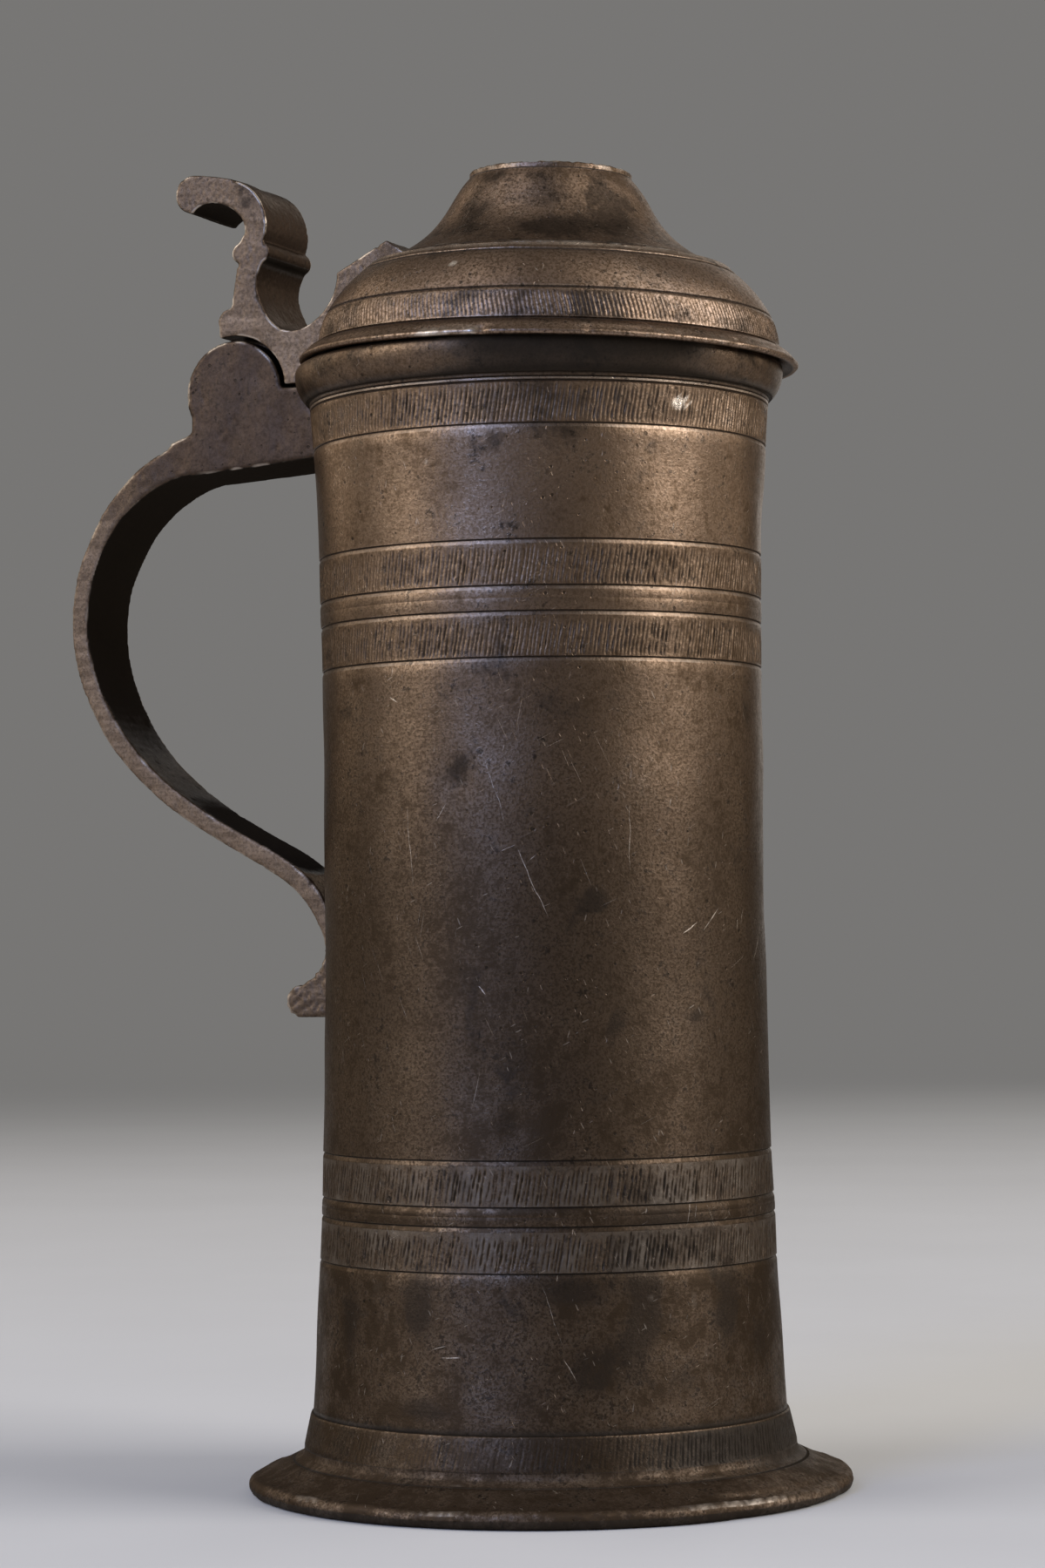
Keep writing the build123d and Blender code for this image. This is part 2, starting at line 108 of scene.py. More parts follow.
# Strokes cut across the bands, with the wear of the ridges between them on the low and high bands
stroke_pitch = 1.0
stroke_depth = 0.3
base_stroke_depth = 0.1
lid_stroke_depth = 0.18
samples_per_stroke = 8
stroke_lean = -1.5
lid_stroke_lean = 1.2
stroke_end_gap = 0.1
stroke_half_width = 0.21
low_ridge_wear = 0.3
high_ridge_wear = 0.14

# Collar
collar_foot_radius = barrel_mouth_radius + 0.8
collar_bead_radius = 2.3
mouth_inner_radius = barrel_mouth_radius - barrel_wall

# Lid, with heights counted from the brim's edge in the lid's own tilted frame
lid_shift = 2.4
lid_nesting = 0.5
lid_droop = 1.5
lid_middle = (lid_shift * MM, 0, (collar_top - lid_nesting) * MM)
lid_place = Matrix.Translation(lid_middle) @ Matrix.Rotation(math.radians(lid_droop), 4, "Y")
brim_edge_thickness = 1.3
brim_edge_width = 1.4
brim_reach = 4.2
brim_rise = 2.6
brim_thickness = 1.2
brim_bulge = 0.45
brim_root_radius = brim_radius - brim_reach
brim_root_height = brim_edge_thickness + brim_rise
dome_height = 21.6
dome_wall = 2.0
dome_shoulder_radius = 40.7
dome_shoulder_chamfer = 0.5
dome_side_top = dome_height - dome_shoulder_chamfer
dome_fullness = 2.0
lid_band_low = 4.6
lid_band_high = 11.0
lid_stroke_top = lid_band_high - 1.0
crown_height = 21.4
crown_wall = 2.0
crown_foot_step = 0.8
crown_flare_radius = 34.0
crown_flare_rise = 1.4
crown_middle_radius = 28.8
crown_middle_height = 5.7
crown_upper_radius = 23.8
crown_upper_height = 11.4
crown_shoulder_radius = 20.4
crown_shoulder_drop = 4.3
crown_lip_radius = 18.1
crown_lip_height = 1.4
crown_lip_width = 1.4
crown_lip_bore = crown_lip_radius - crown_lip_width
crown_lip_foot = crown_height - crown_lip_height
crown_side_low = crown_foot_step + crown_flare_rise
crown_side_high = crown_height - crown_shoulder_drop
top_disc_thickness = 1.2
top_disc_ledge = 2.2
top_disc_dish = 0.35

# Mesh fineness, and the angle in degrees beyond which an edge is sharp
coarse_count = 320
row_step = 2.2
band_row_step = 0.72
base_row_step = 0.9
lid_row_step = 0.5
inner_row_step = 6.0
lid_voxel = 0.3
handle_voxel = 0.46
sharp_angle = 38.0


def smooth_step(value):
    clipped = np.clip(value, 0, 1)
    return clipped * clipped * (3 - 2 * clipped)


def rise(value, start, width):
    """0 up to a start, then a smooth rise to 1 over a width."""
    return smooth_step((value - start) / width)


def hump(share):
    """0 at both ends of a stretch and 1 in its middle."""
    return 4 * share * (1 - share)


def ripple(points, length, seed, waves=24):
    """A smooth random field of about unit size whose swells are about this long."""
    random = np.random.default_rng(seed)
    directions = random.normal(size=(waves, 3))
    directions /= np.linalg.norm(directions, axis=1)[:, None]
    paces = 2 * math.pi / length * random.uniform(0.6, 1.6, waves)
    phases = random.uniform(0, 2 * math.pi, waves)
    total = np.zeros(len(points))
    for direction, pace, phase in zip(directions, paces, phases):
        total += np.cos(points @ (direction * pace) + phase)
    return total * math.sqrt(2 / waves)


def uneven(points, swells):
    """A sum of ripples, each with a size, length and seed."""
    return sum(size * ripple(points, length, seed) for size, length, seed in swells)


def circle(count):
    return np.arange(count) * (2 * math.pi / count)


def round_points(angles, radius, height):
    """Points round the axis, as rows of x, y and z."""
    heights = np.broadcast_to(height, angles.shape)
    return np.stack([radius * np.cos(angles), radius * np.sin(angles), heights], axis=1)


def bearing_gap(angles, bearing):
    """How far each angle lies from a bearing given in degrees, in radians."""
    return (angles - math.radians(bearing) + math.pi) % (2 * math.pi) - math.pi


def near_bearing(angles, bearing, reach, spread=1.5):
    """1 near a bearing and 0 far from it, by a reach in degrees."""
    return smooth_step(spread - np.abs(bearing_gap(angles, bearing)) / math.radians(reach))


def spots(angles, height, radius, marks):
    """Soft patches on a turned surface, each with a bearing, middle height, width, tallness and strength."""
    total = np.zeros(len(angles))
    for bearing, middle, width, tall, strength in marks:
        across = bearing_gap(angles, bearing) * radius / width
        along = (height - middle) / tall
        total += strength * np.exp(-(across**2 + along**2))
    return total


def notches(angles, radius, marks):
    """Soft notches along an edge, each with a bearing, width and depth."""
    total = np.zeros(len(angles))
    for bearing, width, depth in marks:
        total += depth * np.exp(-((bearing_gap(angles, bearing) * radius / width) ** 2))
    return total


class Ring:
    """One ring of points of a turned mesh, with what its surface carries there."""

    def __init__(self, radius, height, count=coarse_count, grime_and_shade=0.0, wear_and_highlight=0.0, stain_and_shade=0.0, inside=False):
        self.count = count
        self.inside = inside
        given = {"radius": radius, "height": height, "grime_and_shade": grime_and_shade, "wear_and_highlight": wear_and_highlight, "stain_and_shade": stain_and_shade}
        for label, value in given.items():
            setattr(self, label, np.broadcast_to(np.asarray(value, float), (count,)))

    def points(self):
        return round_points(circle(self.count), self.radius, self.height)


def strip_faces(first, first_count, second, second_count):
    """Faces between two rings whose counts are alike or one a multiple of the other."""
    faces = []
    if first_count >= second_count:
        share = first_count // second_count
        for place in range(second_count):
            along = [first + (place * share + step) % first_count for step in range(share + 1)]
            faces.append(along + [second + (place + 1) % second_count, second + place])
        return faces
    share = second_count // first_count
    for place in range(first_count):
        back = [second + (place * share + step) % second_count for step in range(share, -1, -1)]
        faces.append([first + place, first + (place + 1) % first_count] + back)
    return faces


def add_values(mesh, name, values):
    attribute = mesh.attributes.new(name, "FLOAT", "POINT")
    attribute.data.foreach_set("value", np.ascontiguousarray(values, np.float32))


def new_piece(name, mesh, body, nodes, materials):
    """An object that stands for solids of a body."""
    for material in materials:
        mesh.materials.append(material)
    piece = bpy.data.objects.new(name + "_surface", mesh)
    bpy.context.scene.collection.objects.link(piece)
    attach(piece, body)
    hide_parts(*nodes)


def ring_faces(rings, closed):
    """Faces between rings in turn, and whether each is on the inside."""
    starts = [int(start) for start in np.cumsum([0] + [ring.count for ring in rings])]
    pairs = list(zip(range(len(rings)), range(1, len(rings))))
    if closed:
        pairs.append((len(rings) - 1, 0))
    faces = []
    inside = []
    for low, high in pairs:
        strip = strip_faces(starts[low], rings[low].count, starts[high], rings[high].count)
        faces += strip
        inside += [int(rings[low].inside and rings[high].inside)] * len(strip)
    if not closed:
        faces.append(list(range(rings[0].count - 1, -1, -1)))
        faces.append(list(range(starts[-2], starts[-1])))
        inside += [int(rings[0].inside), int(rings[-1].inside)]
    return faces, inside


def turned_piece(name, rings, body, materials, closed=True):
    """A turned piece from rings that follow its outline: up the outside, then down the inside."""
    faces, inside = ring_faces(rings, closed)
    points = np.concatenate([ring.points() for ring in rings]) * MM
    mesh = bpy.data.meshes.new(name)
    mesh.from_pydata(points.tolist(), [], faces)
    if body == "lid":
        mesh.transform(lid_place)
    for label in ("grime_and_shade", "wear_and_highlight", "stain_and_shade"):
        add_values(mesh, label, np.concatenate([getattr(ring, label) for ring in rings]))
    mesh.polygons.foreach_set("material_index", inside)
    mesh.shade_smooth()
    mesh.set_sharp_from_angle(angle=math.radians(sharp_angle))
    mesh.update()
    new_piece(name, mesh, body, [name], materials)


def levels(low, high, step):
    """Evenly spaced levels between two, without the ends."""
    count = max(1, round((high - low) / step))
    return [low + (high - low) * place / count for place in range(1, count)]


def arc_points(centre, radius, start, end, steps):
    """Points on an arc, by angles in degrees from the outward direction."""
    turns = np.radians(np.linspace(start, end, steps + 1))
    return [(centre[0] + radius * math.cos(turn), centre[1] + radius * math.sin(turn)) for turn in turns]


# Barrel

# Dents: bearing in degrees, level, width, height and depth
barrel_dents = (
    (-75, 81, 4.2, 4.2, 0.6),
    (-81, 90, 8.0, 8.0, 0.45),
    (-66, 93, 7.0, 7.0, 0.4),
    (-90, 154, 4.5, 4.5, 0.45),
    (-80, 166, 9.0, 9.0, 0.35),
    (-52, 118, 9.0, 9.0, 0.25),
    (-118, 98, 12.0, 12.0, 0.3),
    (-20, 142, 10.0, 10.0, 0.22),
    (65, 60, 14.0, 14.0, 0.4),
    (120, 150, 11.0, 11.0, 0.35),
    (20, 212, 7.0, 7.0, 0.2),
)

# Dark stains and patches of painted shade: bearing in degrees, level, width, height and strength
barrel_stains_and_shade = (
    (-77, 82, 3.5, 3.5, 0.8),
    (-89, 155, 3.0, 3.4, 0.7),
    (-54, 129, 3.2, 2.4, 1.2),
    (-85, 100, 2.0, 9.0, 0.6),
    (-72, 95, 7.0, 10.0, 0.55),
    (-44, 42, 4.5, 8.0, 1.3),
    (-62, 47, 7.0, 3.2, 1.2),
    (-19, 42, 4.5, 7.0, 1.2),
    (-45, 54, 5.0, 4.0, 1.2),
    (-56, 32, 8.0, 6.0, 0.8),
    (-97, 22, 9.0, 2.5, 1.1),
    (-5, 34, 6.0, 7.0, 0.8),
    (-34, 28, 8.0, 4.0, 0.7),
    (-38, 64, 9.0, 7.0, 0.8),
    # The next three rows are painted shade, darkening the right side of the low bands and the base band
    (-25, 55, 20.0, 7.0, 0.6),
    (-22, 69, 20.0, 6.0, 0.4),
    (-25, 13, 26.0, 6.0, 0.8),
    (-124, 39, 4.0, 8.0, 1.0),
    (-89, 69, 5.0, 4.0, 0.8),
    (-100, 44, 4.0, 7.0, 1.2),
    (-115, 160, 9.0, 14.0, 0.35),
    (-26, 107, 6.0, 12.0, 0.45),
    (0, 169, 5.0, 5.0, 0.8),
    (-62, 170, 12.0, 5.0, 0.4),
    (-64, 234, 18.0, 4.5, 0.75),
    (40, 120, 14.0, 20.0, 0.6),
    (100, 60, 16.0, 12.0, 0.6),
    (75, 210, 12.0, 8.0, 0.5),
    (150, 90, 12.0, 22.0, 0.6),
)

# Bright chips and paler patches where the patina has gone, given in the same way, the first partly a painted
# highlight
barrel_chips_and_highlight = (
    # At the mouth band: a chip, partly a painted highlight
    (-31, 233.8, 1.7, 1.3, 0.7),
    (-42, 45.5, 1.4, 2.4, 0.3),
    (-30, 44, 1.8, 5.0, 0.24),
    (-113, 47, 3.5, 3.0, 0.22),
    (-96, 222, 0.7, 0.5, 0.7),
    (-40, 38, 0.8, 0.8, 0.6),
)

# Straight scratches, and broad streaks that are partly painted highlight: bearing in degrees and level of
# both ends, width and strength
barrel_scratches_and_highlights = (
    (-82.5, 160.2, -75.9, 143.7, 0.30, 0.45),
    (-74.0, 140.4, -66.2, 125.2, 0.40, 1.0),
    (-103.6, 149.0, -101.7, 131.2, 0.35, 0.5),
    (-92.0, 149.8, -95.0, 145.6, 0.30, 0.5),
    (-45.0, 149.7, -45.0, 134.3, 0.30, 0.7),
    (-77.9, 139.1, -74.0, 140.7, 0.30, 0.8),
    (-71.0, 136.7, -68.6, 138.3, 0.35, 0.9),
    (-17.1, 126.9, -22.9, 122.1, 0.45, 1.0),
    (-30.0, 121.6, -25.1, 123.9, 0.50, 0.9),
    (-5.3, 126.7, -7.0, 123.1, 0.40, 0.8),
    (9.6, 123.8, 0.1, 114.4, 0.45, 1.0),
    (-109.3, 172.6, -106.4, 171.2, 0.50, 1.0),
    (-83.6, 111.1, -81.8, 109.3, 0.55, 0.8),
    (-68.8, 49.5, -63.9, 36.0, 0.32, 0.5),
    (-63.9, 33.7, -60.4, 28.4, 0.40, 0.9),
    (-93.4, 33.5, -88.4, 33.5, 0.55, 1.0),
    (-95.8, 35.3, -92.1, 35.9, 0.35, 0.6),
    # The next three broad streaks at the mouth band are a chip's facets, partly painted as a highlight
    (-27.9, 236.0, -32.0, 232.3, 2.4, 0.75),
    (-30.2, 236.2, -33.5, 232.8, 1.8, 0.6),
    (-26.5, 235.2, -29.5, 232.6, 1.4, 0.5),
    (70.0, 150.0, 84.0, 120.0, 0.40, 0.8),
    (150.0, 60.0, 140.0, 100.0, 0.40, 0.7),
)

# Dark scores and pits, given in the same way
barrel_scores = (
    (-93.9, 134.6, -90.2, 114.4, 0.55, 0.7),
    (-95.1, 134.3, -97.8, 118.7, 0.40, 0.5),
    (-85.1, 137.8, -92.2, 130.0, 0.60, 0.5),
    (-82.9, 103.6, -84.1, 97.5, 0.90, 0.8),
    (-46.7, 178.1, -46.0, 176.4, 1.30, 1.0),
    (-20.9, 101.3, -19.0, 97.9, 1.90, 0.9),
    (-114.7, 163.4, -115.5, 159.3, 0.80, 0.7),
    (-93.7, 165.1, -91.8, 162.6, 0.70, 0.7),
    (-67.5, 174.5, -63.2, 171.9, 0.70, 0.6),
    (-72.7, 96.7, -76.0, 93.1, 0.60, 0.6),
    (1.9, 171.7, 6.5, 165.6, 1.60, 0.6),
)

# Two lines and a bead above the mouth band: step up, depth, grime and wear of each ring
mouth_bead = (
    (0.3, line_depth, 1.0, 0.0),
    (0.5, 0.0, 0.0, 0.4),
    (0.9, 0.0, 0.0, 0.4),
    (1.1, line_depth, 1.0, 0.0),
    (1.4, 0.0, 0.5, 0.0),
)

# Unevenness of the wall: size, length and seed of each ripple
barrel_wobble = ((0.07, 60, 1), (0.06, 22, 2))

# Where painted shade darkens the base band on the right: its middle bearing and reach, in degrees
base_band_shade = (-15, 30)


def barrel_radius(level):
    """Outer radius of the barrel, narrowest at its waist."""
    if level < barrel_waist_level:
        share = (barrel_waist_level - level) / (barrel_waist_level - foot_height)
        return barrel_waist_radius + (barrel_foot_radius - barrel_waist_radius) * share**lower_flare_power
    share = (level - barrel_waist_level) / (barrel_top - barrel_waist_level)
    return barrel_waist_radius + (barrel_mouth_radius - barrel_waist_radius) * share**upper_flare_power


def barrel_relief(angles, level):
    """How the wall strays from its turned shape: a slight wobble and some dents."""
    radius = barrel_radius(level)
    points = round_points(angles, radius, level)
    return uneven(points, barrel_wobble) - spots(angles, level, radius, barrel_dents)


def barrel_stain_and_shade(angles, level):
    return np.clip(spots(angles, level, barrel_radius(level), barrel_stains_and_shade), 0, 1)


def barrel_ring(level, offset=0.0, count=coarse_count, grime_and_shade=0.0, wear_and_highlight=0.0):
    angles = circle(count)
    radius = barrel_radius(level) + offset + barrel_relief(angles, level)
    chip = np.clip(spots(angles, level, barrel_radius(level), barrel_chips_and_highlight), 0, 1)
    return Ring(radius, level, count, grime_and_shade * (1 - chip), wear_and_highlight + 1.2 * chip, barrel_stain_and_shade(angles, level))


def strokes(angles, share, count, lean, seed, ragged):
    """How deep a band's strokes are at these angles, from 0 to 1, at a share of its height."""
    random = np.random.default_rng(seed)
    shift = ragged * random.uniform(-0.3, 0.3, count)
    strength = 1 - ragged * random.uniform(0, 0.7, count)
    top = ragged * random.uniform(0.0, 0.22, count)
    foot = ragged * random.uniform(0.0, 0.12, count)
    beats = random.uniform(1.2, 2.8, count)
    phase = random.uniform(0, 2 * math.pi, count)
    sway = ragged * random.uniform(-0.16, 0.16, count)
    turn = angles / (2 * math.pi) * count + lean * (share - 0.5)
    index = np.floor(turn).astype(int) % count
    bend = sway[index] * np.sin(2 * math.pi * share + phase[index])
    offset = turn - np.floor(turn) - 0.5 - shift[index] - bend
    body = np.exp(-((offset / stroke_half_width) ** 2))
    ends = smooth_step((share - foot[index] + 0.04) / 0.08) * smooth_step((1 - top[index] - share) / 0.1)
    gaps = 1 - smooth_step(0.75 + np.sin(2 * math.pi * beats[index] * share + phase[index]))
    patches = 1 - 0.5 * ragged * np.abs(np.sin(7 * angles + seed) * np.sin(23 * angles + 2 * seed))
    return strength[index] * body * ends * (1 - 0.7 * ragged * gaps) * patches


def stroke_count(radius):
    """How many strokes go round, as a number that the coarse rings divide into."""
    whole = round(2 * math.pi * radius / stroke_pitch * samples_per_stroke / coarse_count)
    return whole * coarse_count // samples_per_stroke


def line_rings(level):
    """A turned line, from the end of its lower slope up to its upper edge, brighter high on the barrel."""
    rubbed = 0.1 + 0.2 * rise(level, *line_shine)
    return [
        barrel_ring(level - line_slope),
        barrel_ring(level - line_slope * 0.85, -line_depth * 0.12, wear_and_highlight=rubbed),
        barrel_ring(level - line_slope * 0.35, -line_depth * 0.62, wear_and_highlight=rubbed),
        barrel_ring(level - line_wall * 0.5, -line_depth, grime_and_shade=0.9),
        barrel_ring(level, -line_depth * 0.9, grime_and_shade=1.0),
        barrel_ring(level + line_wall, 0.0, wear_and_highlight=0.25),
    ]


def band_rings(low, high, seed, ragged):
    """The rings of a band of strokes between two turned lines."""
    count = stroke_count(barrel_radius(low))
    fine = count * samples_per_stroke
    angles = circle(fine)
    start = low + line_wall + stroke_end_gap
    end = high - line_slope - stroke_end_gap
    ridge = low_ridge_wear if high < barrel_waist_level else high_ridge_wear
    rings = []
    for level in [start] + levels(start, end, band_row_step) + [end]:
        cut = strokes(angles, (level - start) / (end - start), count, stroke_lean, seed, ragged)
        rough = ripple(round_points(angles, barrel_radius(level), level), 1.3, seed + 40)
        cut = cut * np.clip(0.9 + 0.4 * ragged**2 * rough, 0.1, 1.2)
        rubbed = ridge * (1 - np.clip(cut, 0, 1)) ** 2
        rings.append(barrel_ring(level, -stroke_depth * cut, fine, cut**0.7, rubbed))
    return rings


def plain_rings(low, high, swell=0.0):
    """Smooth wall between two levels, which may swell a little between them."""
    rings = []
    for level in levels(low, high, min(row_step, (high - low) / 8)):
        share = (level - low) / (high - low)
        rings.append(barrel_ring(level, swell * hump(share), wear_and_highlight=0.12 * (swell > 0)))
    return rings


def base_band_rings():
    """The band at the barrel's foot, which stands a little proud."""
    count = stroke_count(barrel_foot_radius)
    fine = count * samples_per_stroke
    angles = circle(fine)
    top_radius = barrel_radius(base_band_top) + base_band_proud
    rings = [Ring(barrel_base_radius, foot_height, grime_and_shade=0.7)]
    start, end = base_stroke_levels
    for level in [start] + levels(start, end, base_row_step) + [end]:
        share = (level - foot_height) / (base_band_top - foot_height)
        cut = strokes(angles, share, count, stroke_lean, seed=5, ragged=0.8)
        radius = barrel_base_radius + (top_radius - barrel_base_radius) * share
        radius = radius - base_stroke_depth * cut + barrel_relief(angles, level)
        # Grime in the strokes, and painted shade on the band's right side
        grime_and_shade = 0.8 * cut + 0.6 * near_bearing(angles, *base_band_shade)
        rings.append(Ring(radius, level, fine, grime_and_shade, 0.0, 0.55 + 0.45 * barrel_stain_and_shade(angles, level)))
    edge = top_radius + barrel_relief(circle(coarse_count), base_band_top)
    rings.append(Ring(edge - 0.05, base_band_top - 0.05, wear_and_highlight=0.25))
    rings.append(Ring(edge - 0.2, base_band_top + 0.08, wear_and_highlight=0.15))
    rings.append(barrel_ring(base_band_top + base_band_step, 0.0, grime_and_shade=0.9))
    return rings


def double_band_rings(band_levels, seed, ragged):
    """Two bands of strokes with a smooth fillet between them."""
    first, second, third, fourth = band_levels
    rings = line_rings(first)
    rings += band_rings(first, second, seed, ragged)
    rings += line_rings(second)
    rings += plain_rings(second + line_wall, third - line_slope, fillet_swell)
    rings += line_rings(third)
    rings += band_rings(third, fourth, seed + 1, ragged)
    return rings + line_rings(fourth)


def barrel_rings():
    """The whole outside of the barrel, from its foot to its mouth."""
    low, high, mouth = lower_band_levels, upper_band_levels, mouth_band_levels
    rings = base_band_rings()
    rings += plain_rings(base_band_top + base_band_step, low[0] - line_slope)
    rings += double_band_rings(low, seed=11, ragged=1.0)
    rings += plain_rings(low[3] + line_wall, high[0] - line_slope)
    rings += double_band_rings(high, seed=21, ragged=0.7)
    rings += plain_rings(high[3] + line_wall, mouth[0] - line_slope)
    rings += line_rings(mouth[0])
    rings += band_rings(mouth[0], mouth[1] + line_slope, seed=31, ragged=0.6)
    for step, depth, grime_and_shade, wear_and_highlight in mouth_bead:
        rings.append(barrel_ring(mouth[1] + step, -depth, grime_and_shade=grime_and_shade, wear_and_highlight=wear_and_highlight))
    rings.append(barrel_ring(barrel_top, 0.0, grime_and_shade=0.9))
    return rings


def inner_barrel_radius(level):
    """The inside follows the outside, and is straight behind the base band."""
    if level < base_band_top:
        share = (level - foot_height) / (base_band_top - foot_height)
        top = barrel_radius(base_band_top) - barrel_wall
        foot = barrel_base_radius - barrel_wall
        return foot + (top - foot) * share
    return barrel_radius(level) - barrel_wall


def make_drum(name, rings, low, high, materials):
    """One drum of the barrel: the rings between two levels, closed by its inside."""
    outside = [ring for ring in rings if low + seam_gap < ring.height[0] < high - seam_gap]
    first = rings[0] if low == foot_height else barrel_ring(low)
    last = rings[-1] if high == barrel_top else barrel_ring(high)
    inside = []
    for level in [high] + levels(low, high, inner_row_step)[::-1] + [low]:
        inside.append(Ring(inner_barrel_radius(level), level, grime_and_shade=0.4, inside=True))
    turned_piece(name, [first] + outside + [last] + inside, "flagon", materials)


# Foot and bottom

# Stretches of the foot's rim where the wear is raised into a painted highlight: bearing and reach in degrees
rim_highlights = ((-118, 9), (-88, 10), (-33, 19), (60, 30), (150, 40))

# Unevenness of the foot and patches of its shine: size, length and seed of each ripple
foot_bumps = ((0.16, 26, 42), (0.07, 7, 43), (0.06, 2.0, 46))
foot_patches = ((0.12, 9, 45), (0.12, 1.9, 48))

# Where the rim is battered, and where painted shade darkens the foot's top on the right: bearing and reach
# in degrees
rim_batter = (-12, 24)
foot_right_shade = (20, 32)


def rim_wear_and_highlight(angles):
    """How much the foot's rim is worn and painted with a highlight at these angles, from 0 to 1."""
    rubbed = np.full(len(angles), 0.3)
    for bearing, reach in rim_highlights:
        gap = bearing_gap(angles, bearing) / math.radians(reach)
        rubbed = np.maximum(rubbed, np.exp(-(gap**2)))
    return rubbed


def foot_outline():
    """The foot's section, from its tread over the rim to the ledge: radius, height, grime and wear, where
    the rim's grime is partly painted shade and its top's wear partly a painted highlight.
    """
    outline = [(foot_radius - foot_tread_width, 0.0, 0.5, 0.0), (foot_rim_inner, 0.0, 0.3, 0.2)]
    # Grime under the rim is partly soot and partly painted shade
    for radius, height in arc_points((foot_rim_inner, foot_rim_round), foot_rim_round, -60, 0, 3):
        outline.append((radius, height, 0.75, 0.05))
    outline.append((foot_radius, foot_rim_round + 0.2, 0.45, 0.1))
    rim_centre = (foot_rim_inner, foot_rim_height - foot_rim_round)
    # Wear on the rim's top is partly real wear and partly a painted highlight
    for radius, height in arc_points(rim_centre, foot_rim_round, 0, 75, 5):
        on_top = height > foot_rim_height - foot_rim_round * 0.6
        outline.append((radius, height, 0.0, 0.1 + 0.32 * on_top))
    for share in np.linspace(0, 1, 11):
        radius = foot_rim_inner + (foot_fillet_outer - foot_rim_inner) * share
        height = foot_rim_height + (foot_fillet_low - foot_rim_height) * share - foot_hollow * hump(share)
        outline.append((radius, height, 0.15 * share**3, 0.1 * (1 - share) ** 6))
    line_low = foot_fillet_outer - foot_line_width
    outline.append((line_low + 0.4, foot_fillet_low + 0.05, 0.9, 0.0))
    outline.append((line_low, foot_fillet_low + foot_line_depth, 0.15, 0.3))
    for radius, height in arc_points((foot_fillet_outer, foot_height), foot_fillet, 215, 180, 4):
        outline.append((radius, height, 0.35, 0.1))
    pocket = bottom_radius + ledge_gap
    ledge = bottom_radius - ledge_width
    return outline + [
        (pocket, foot_height, 0.6, 0.0),
        (pocket, bottom_low, 0.6, 0.0),
        (ledge, bottom_low, 0.6, 0.0),
        (ledge, bottom_low - ledge_thickness, 0.6, 0.0),
    ]


def make_foot(materials):
    count = 2 * coarse_count
    angles = circle(count)
    batter_bearing, batter_reach = rim_batter
    across = bearing_gap(angles, batter_bearing) / math.radians(batter_reach)
    battered = smooth_step((across + 1) / 0.3) * smooth_step((1 - across) / 0.3)
    rings = []
    for radius, height, grime_and_shade, wear_and_highlight in foot_outline():
        points = round_points(angles, radius, height)
        share = smooth_step((radius - foot_fillet_outer) / (foot_rim_inner - foot_fillet_outer))
        lift = smooth_step(height / foot_rim_height)
        batter = battered * smooth_step((share - 0.7) / 0.25)
        hacks = 0.45 * ripple(points * (1, 1, 0.3), 2.6, 41) + 0.3 * ripple(points, 8, 47)
        hacked = batter * np.clip(0.5 + hacks, 0, 1)
        inward = share * (np.abs(uneven(points, foot_bumps)) + 0.55 * batter + 0.16 * hacked)
        drop = share * lift * (0.2 * np.abs(ripple(points, 34, 44)) + 0.35 * batter + 0.12 * hacked)
        patchy = np.clip(0.85 + uneven(points, foot_patches), 0, 1)
        # The rim's wear, raised at some bearings into a painted highlight, and battered patches
        worn = wear_and_highlight * patchy * rim_wear_and_highlight(angles) + 0.18 * batter * (wear_and_highlight > 0.1) * (1 - hacked)
        # Painted shade on the top of the foot, towards the right
        painted_shade = 0.4 * (radius < foot_rim_inner) * near_bearing(angles, *foot_right_shade)
        rings.append(Ring(radius - inward, height - drop, count, grime_and_shade + painted_shade, np.clip(worn, 0, 1)))
    turned_piece("foot_ring", rings, "flagon", materials)


def make_bottom(materials):
    """The vessel's floor, with the faint rings that turning leaves on both faces."""
    reach = np.linspace(1.0, bottom_radius, 60)
    depths = 0.05 * (1 + np.sin(reach * 2.1))
    rings = [Ring(radius, bottom_low + depth, grime_and_shade=0.5) for radius, depth in zip(reach, depths)]
    rings.append(Ring(bottom_radius, bottom_low, grime_and_shade=0.8))
    rings.append(Ring(bottom_radius, bottom_high, grime_and_shade=0.8, inside=True))
    for radius, depth in zip(reach[::-1], depths[::-1]):
        rings.append(Ring(radius, bottom_high - depth, grime_and_shade=0.4, inside=True))
    turned_piece("bottom_plate", rings, "flagon", materials, closed=False)


# Mouth collar

# Unevenness of the collar: size, length and seed of each ripple
collar_bumps = ((0.08, 45, 51), (0.02, 9, 52))

# Where painted shade darkens the collar under the brim: its middle bearing and reach, in degrees
collar_brim_shade = (-56, 27)


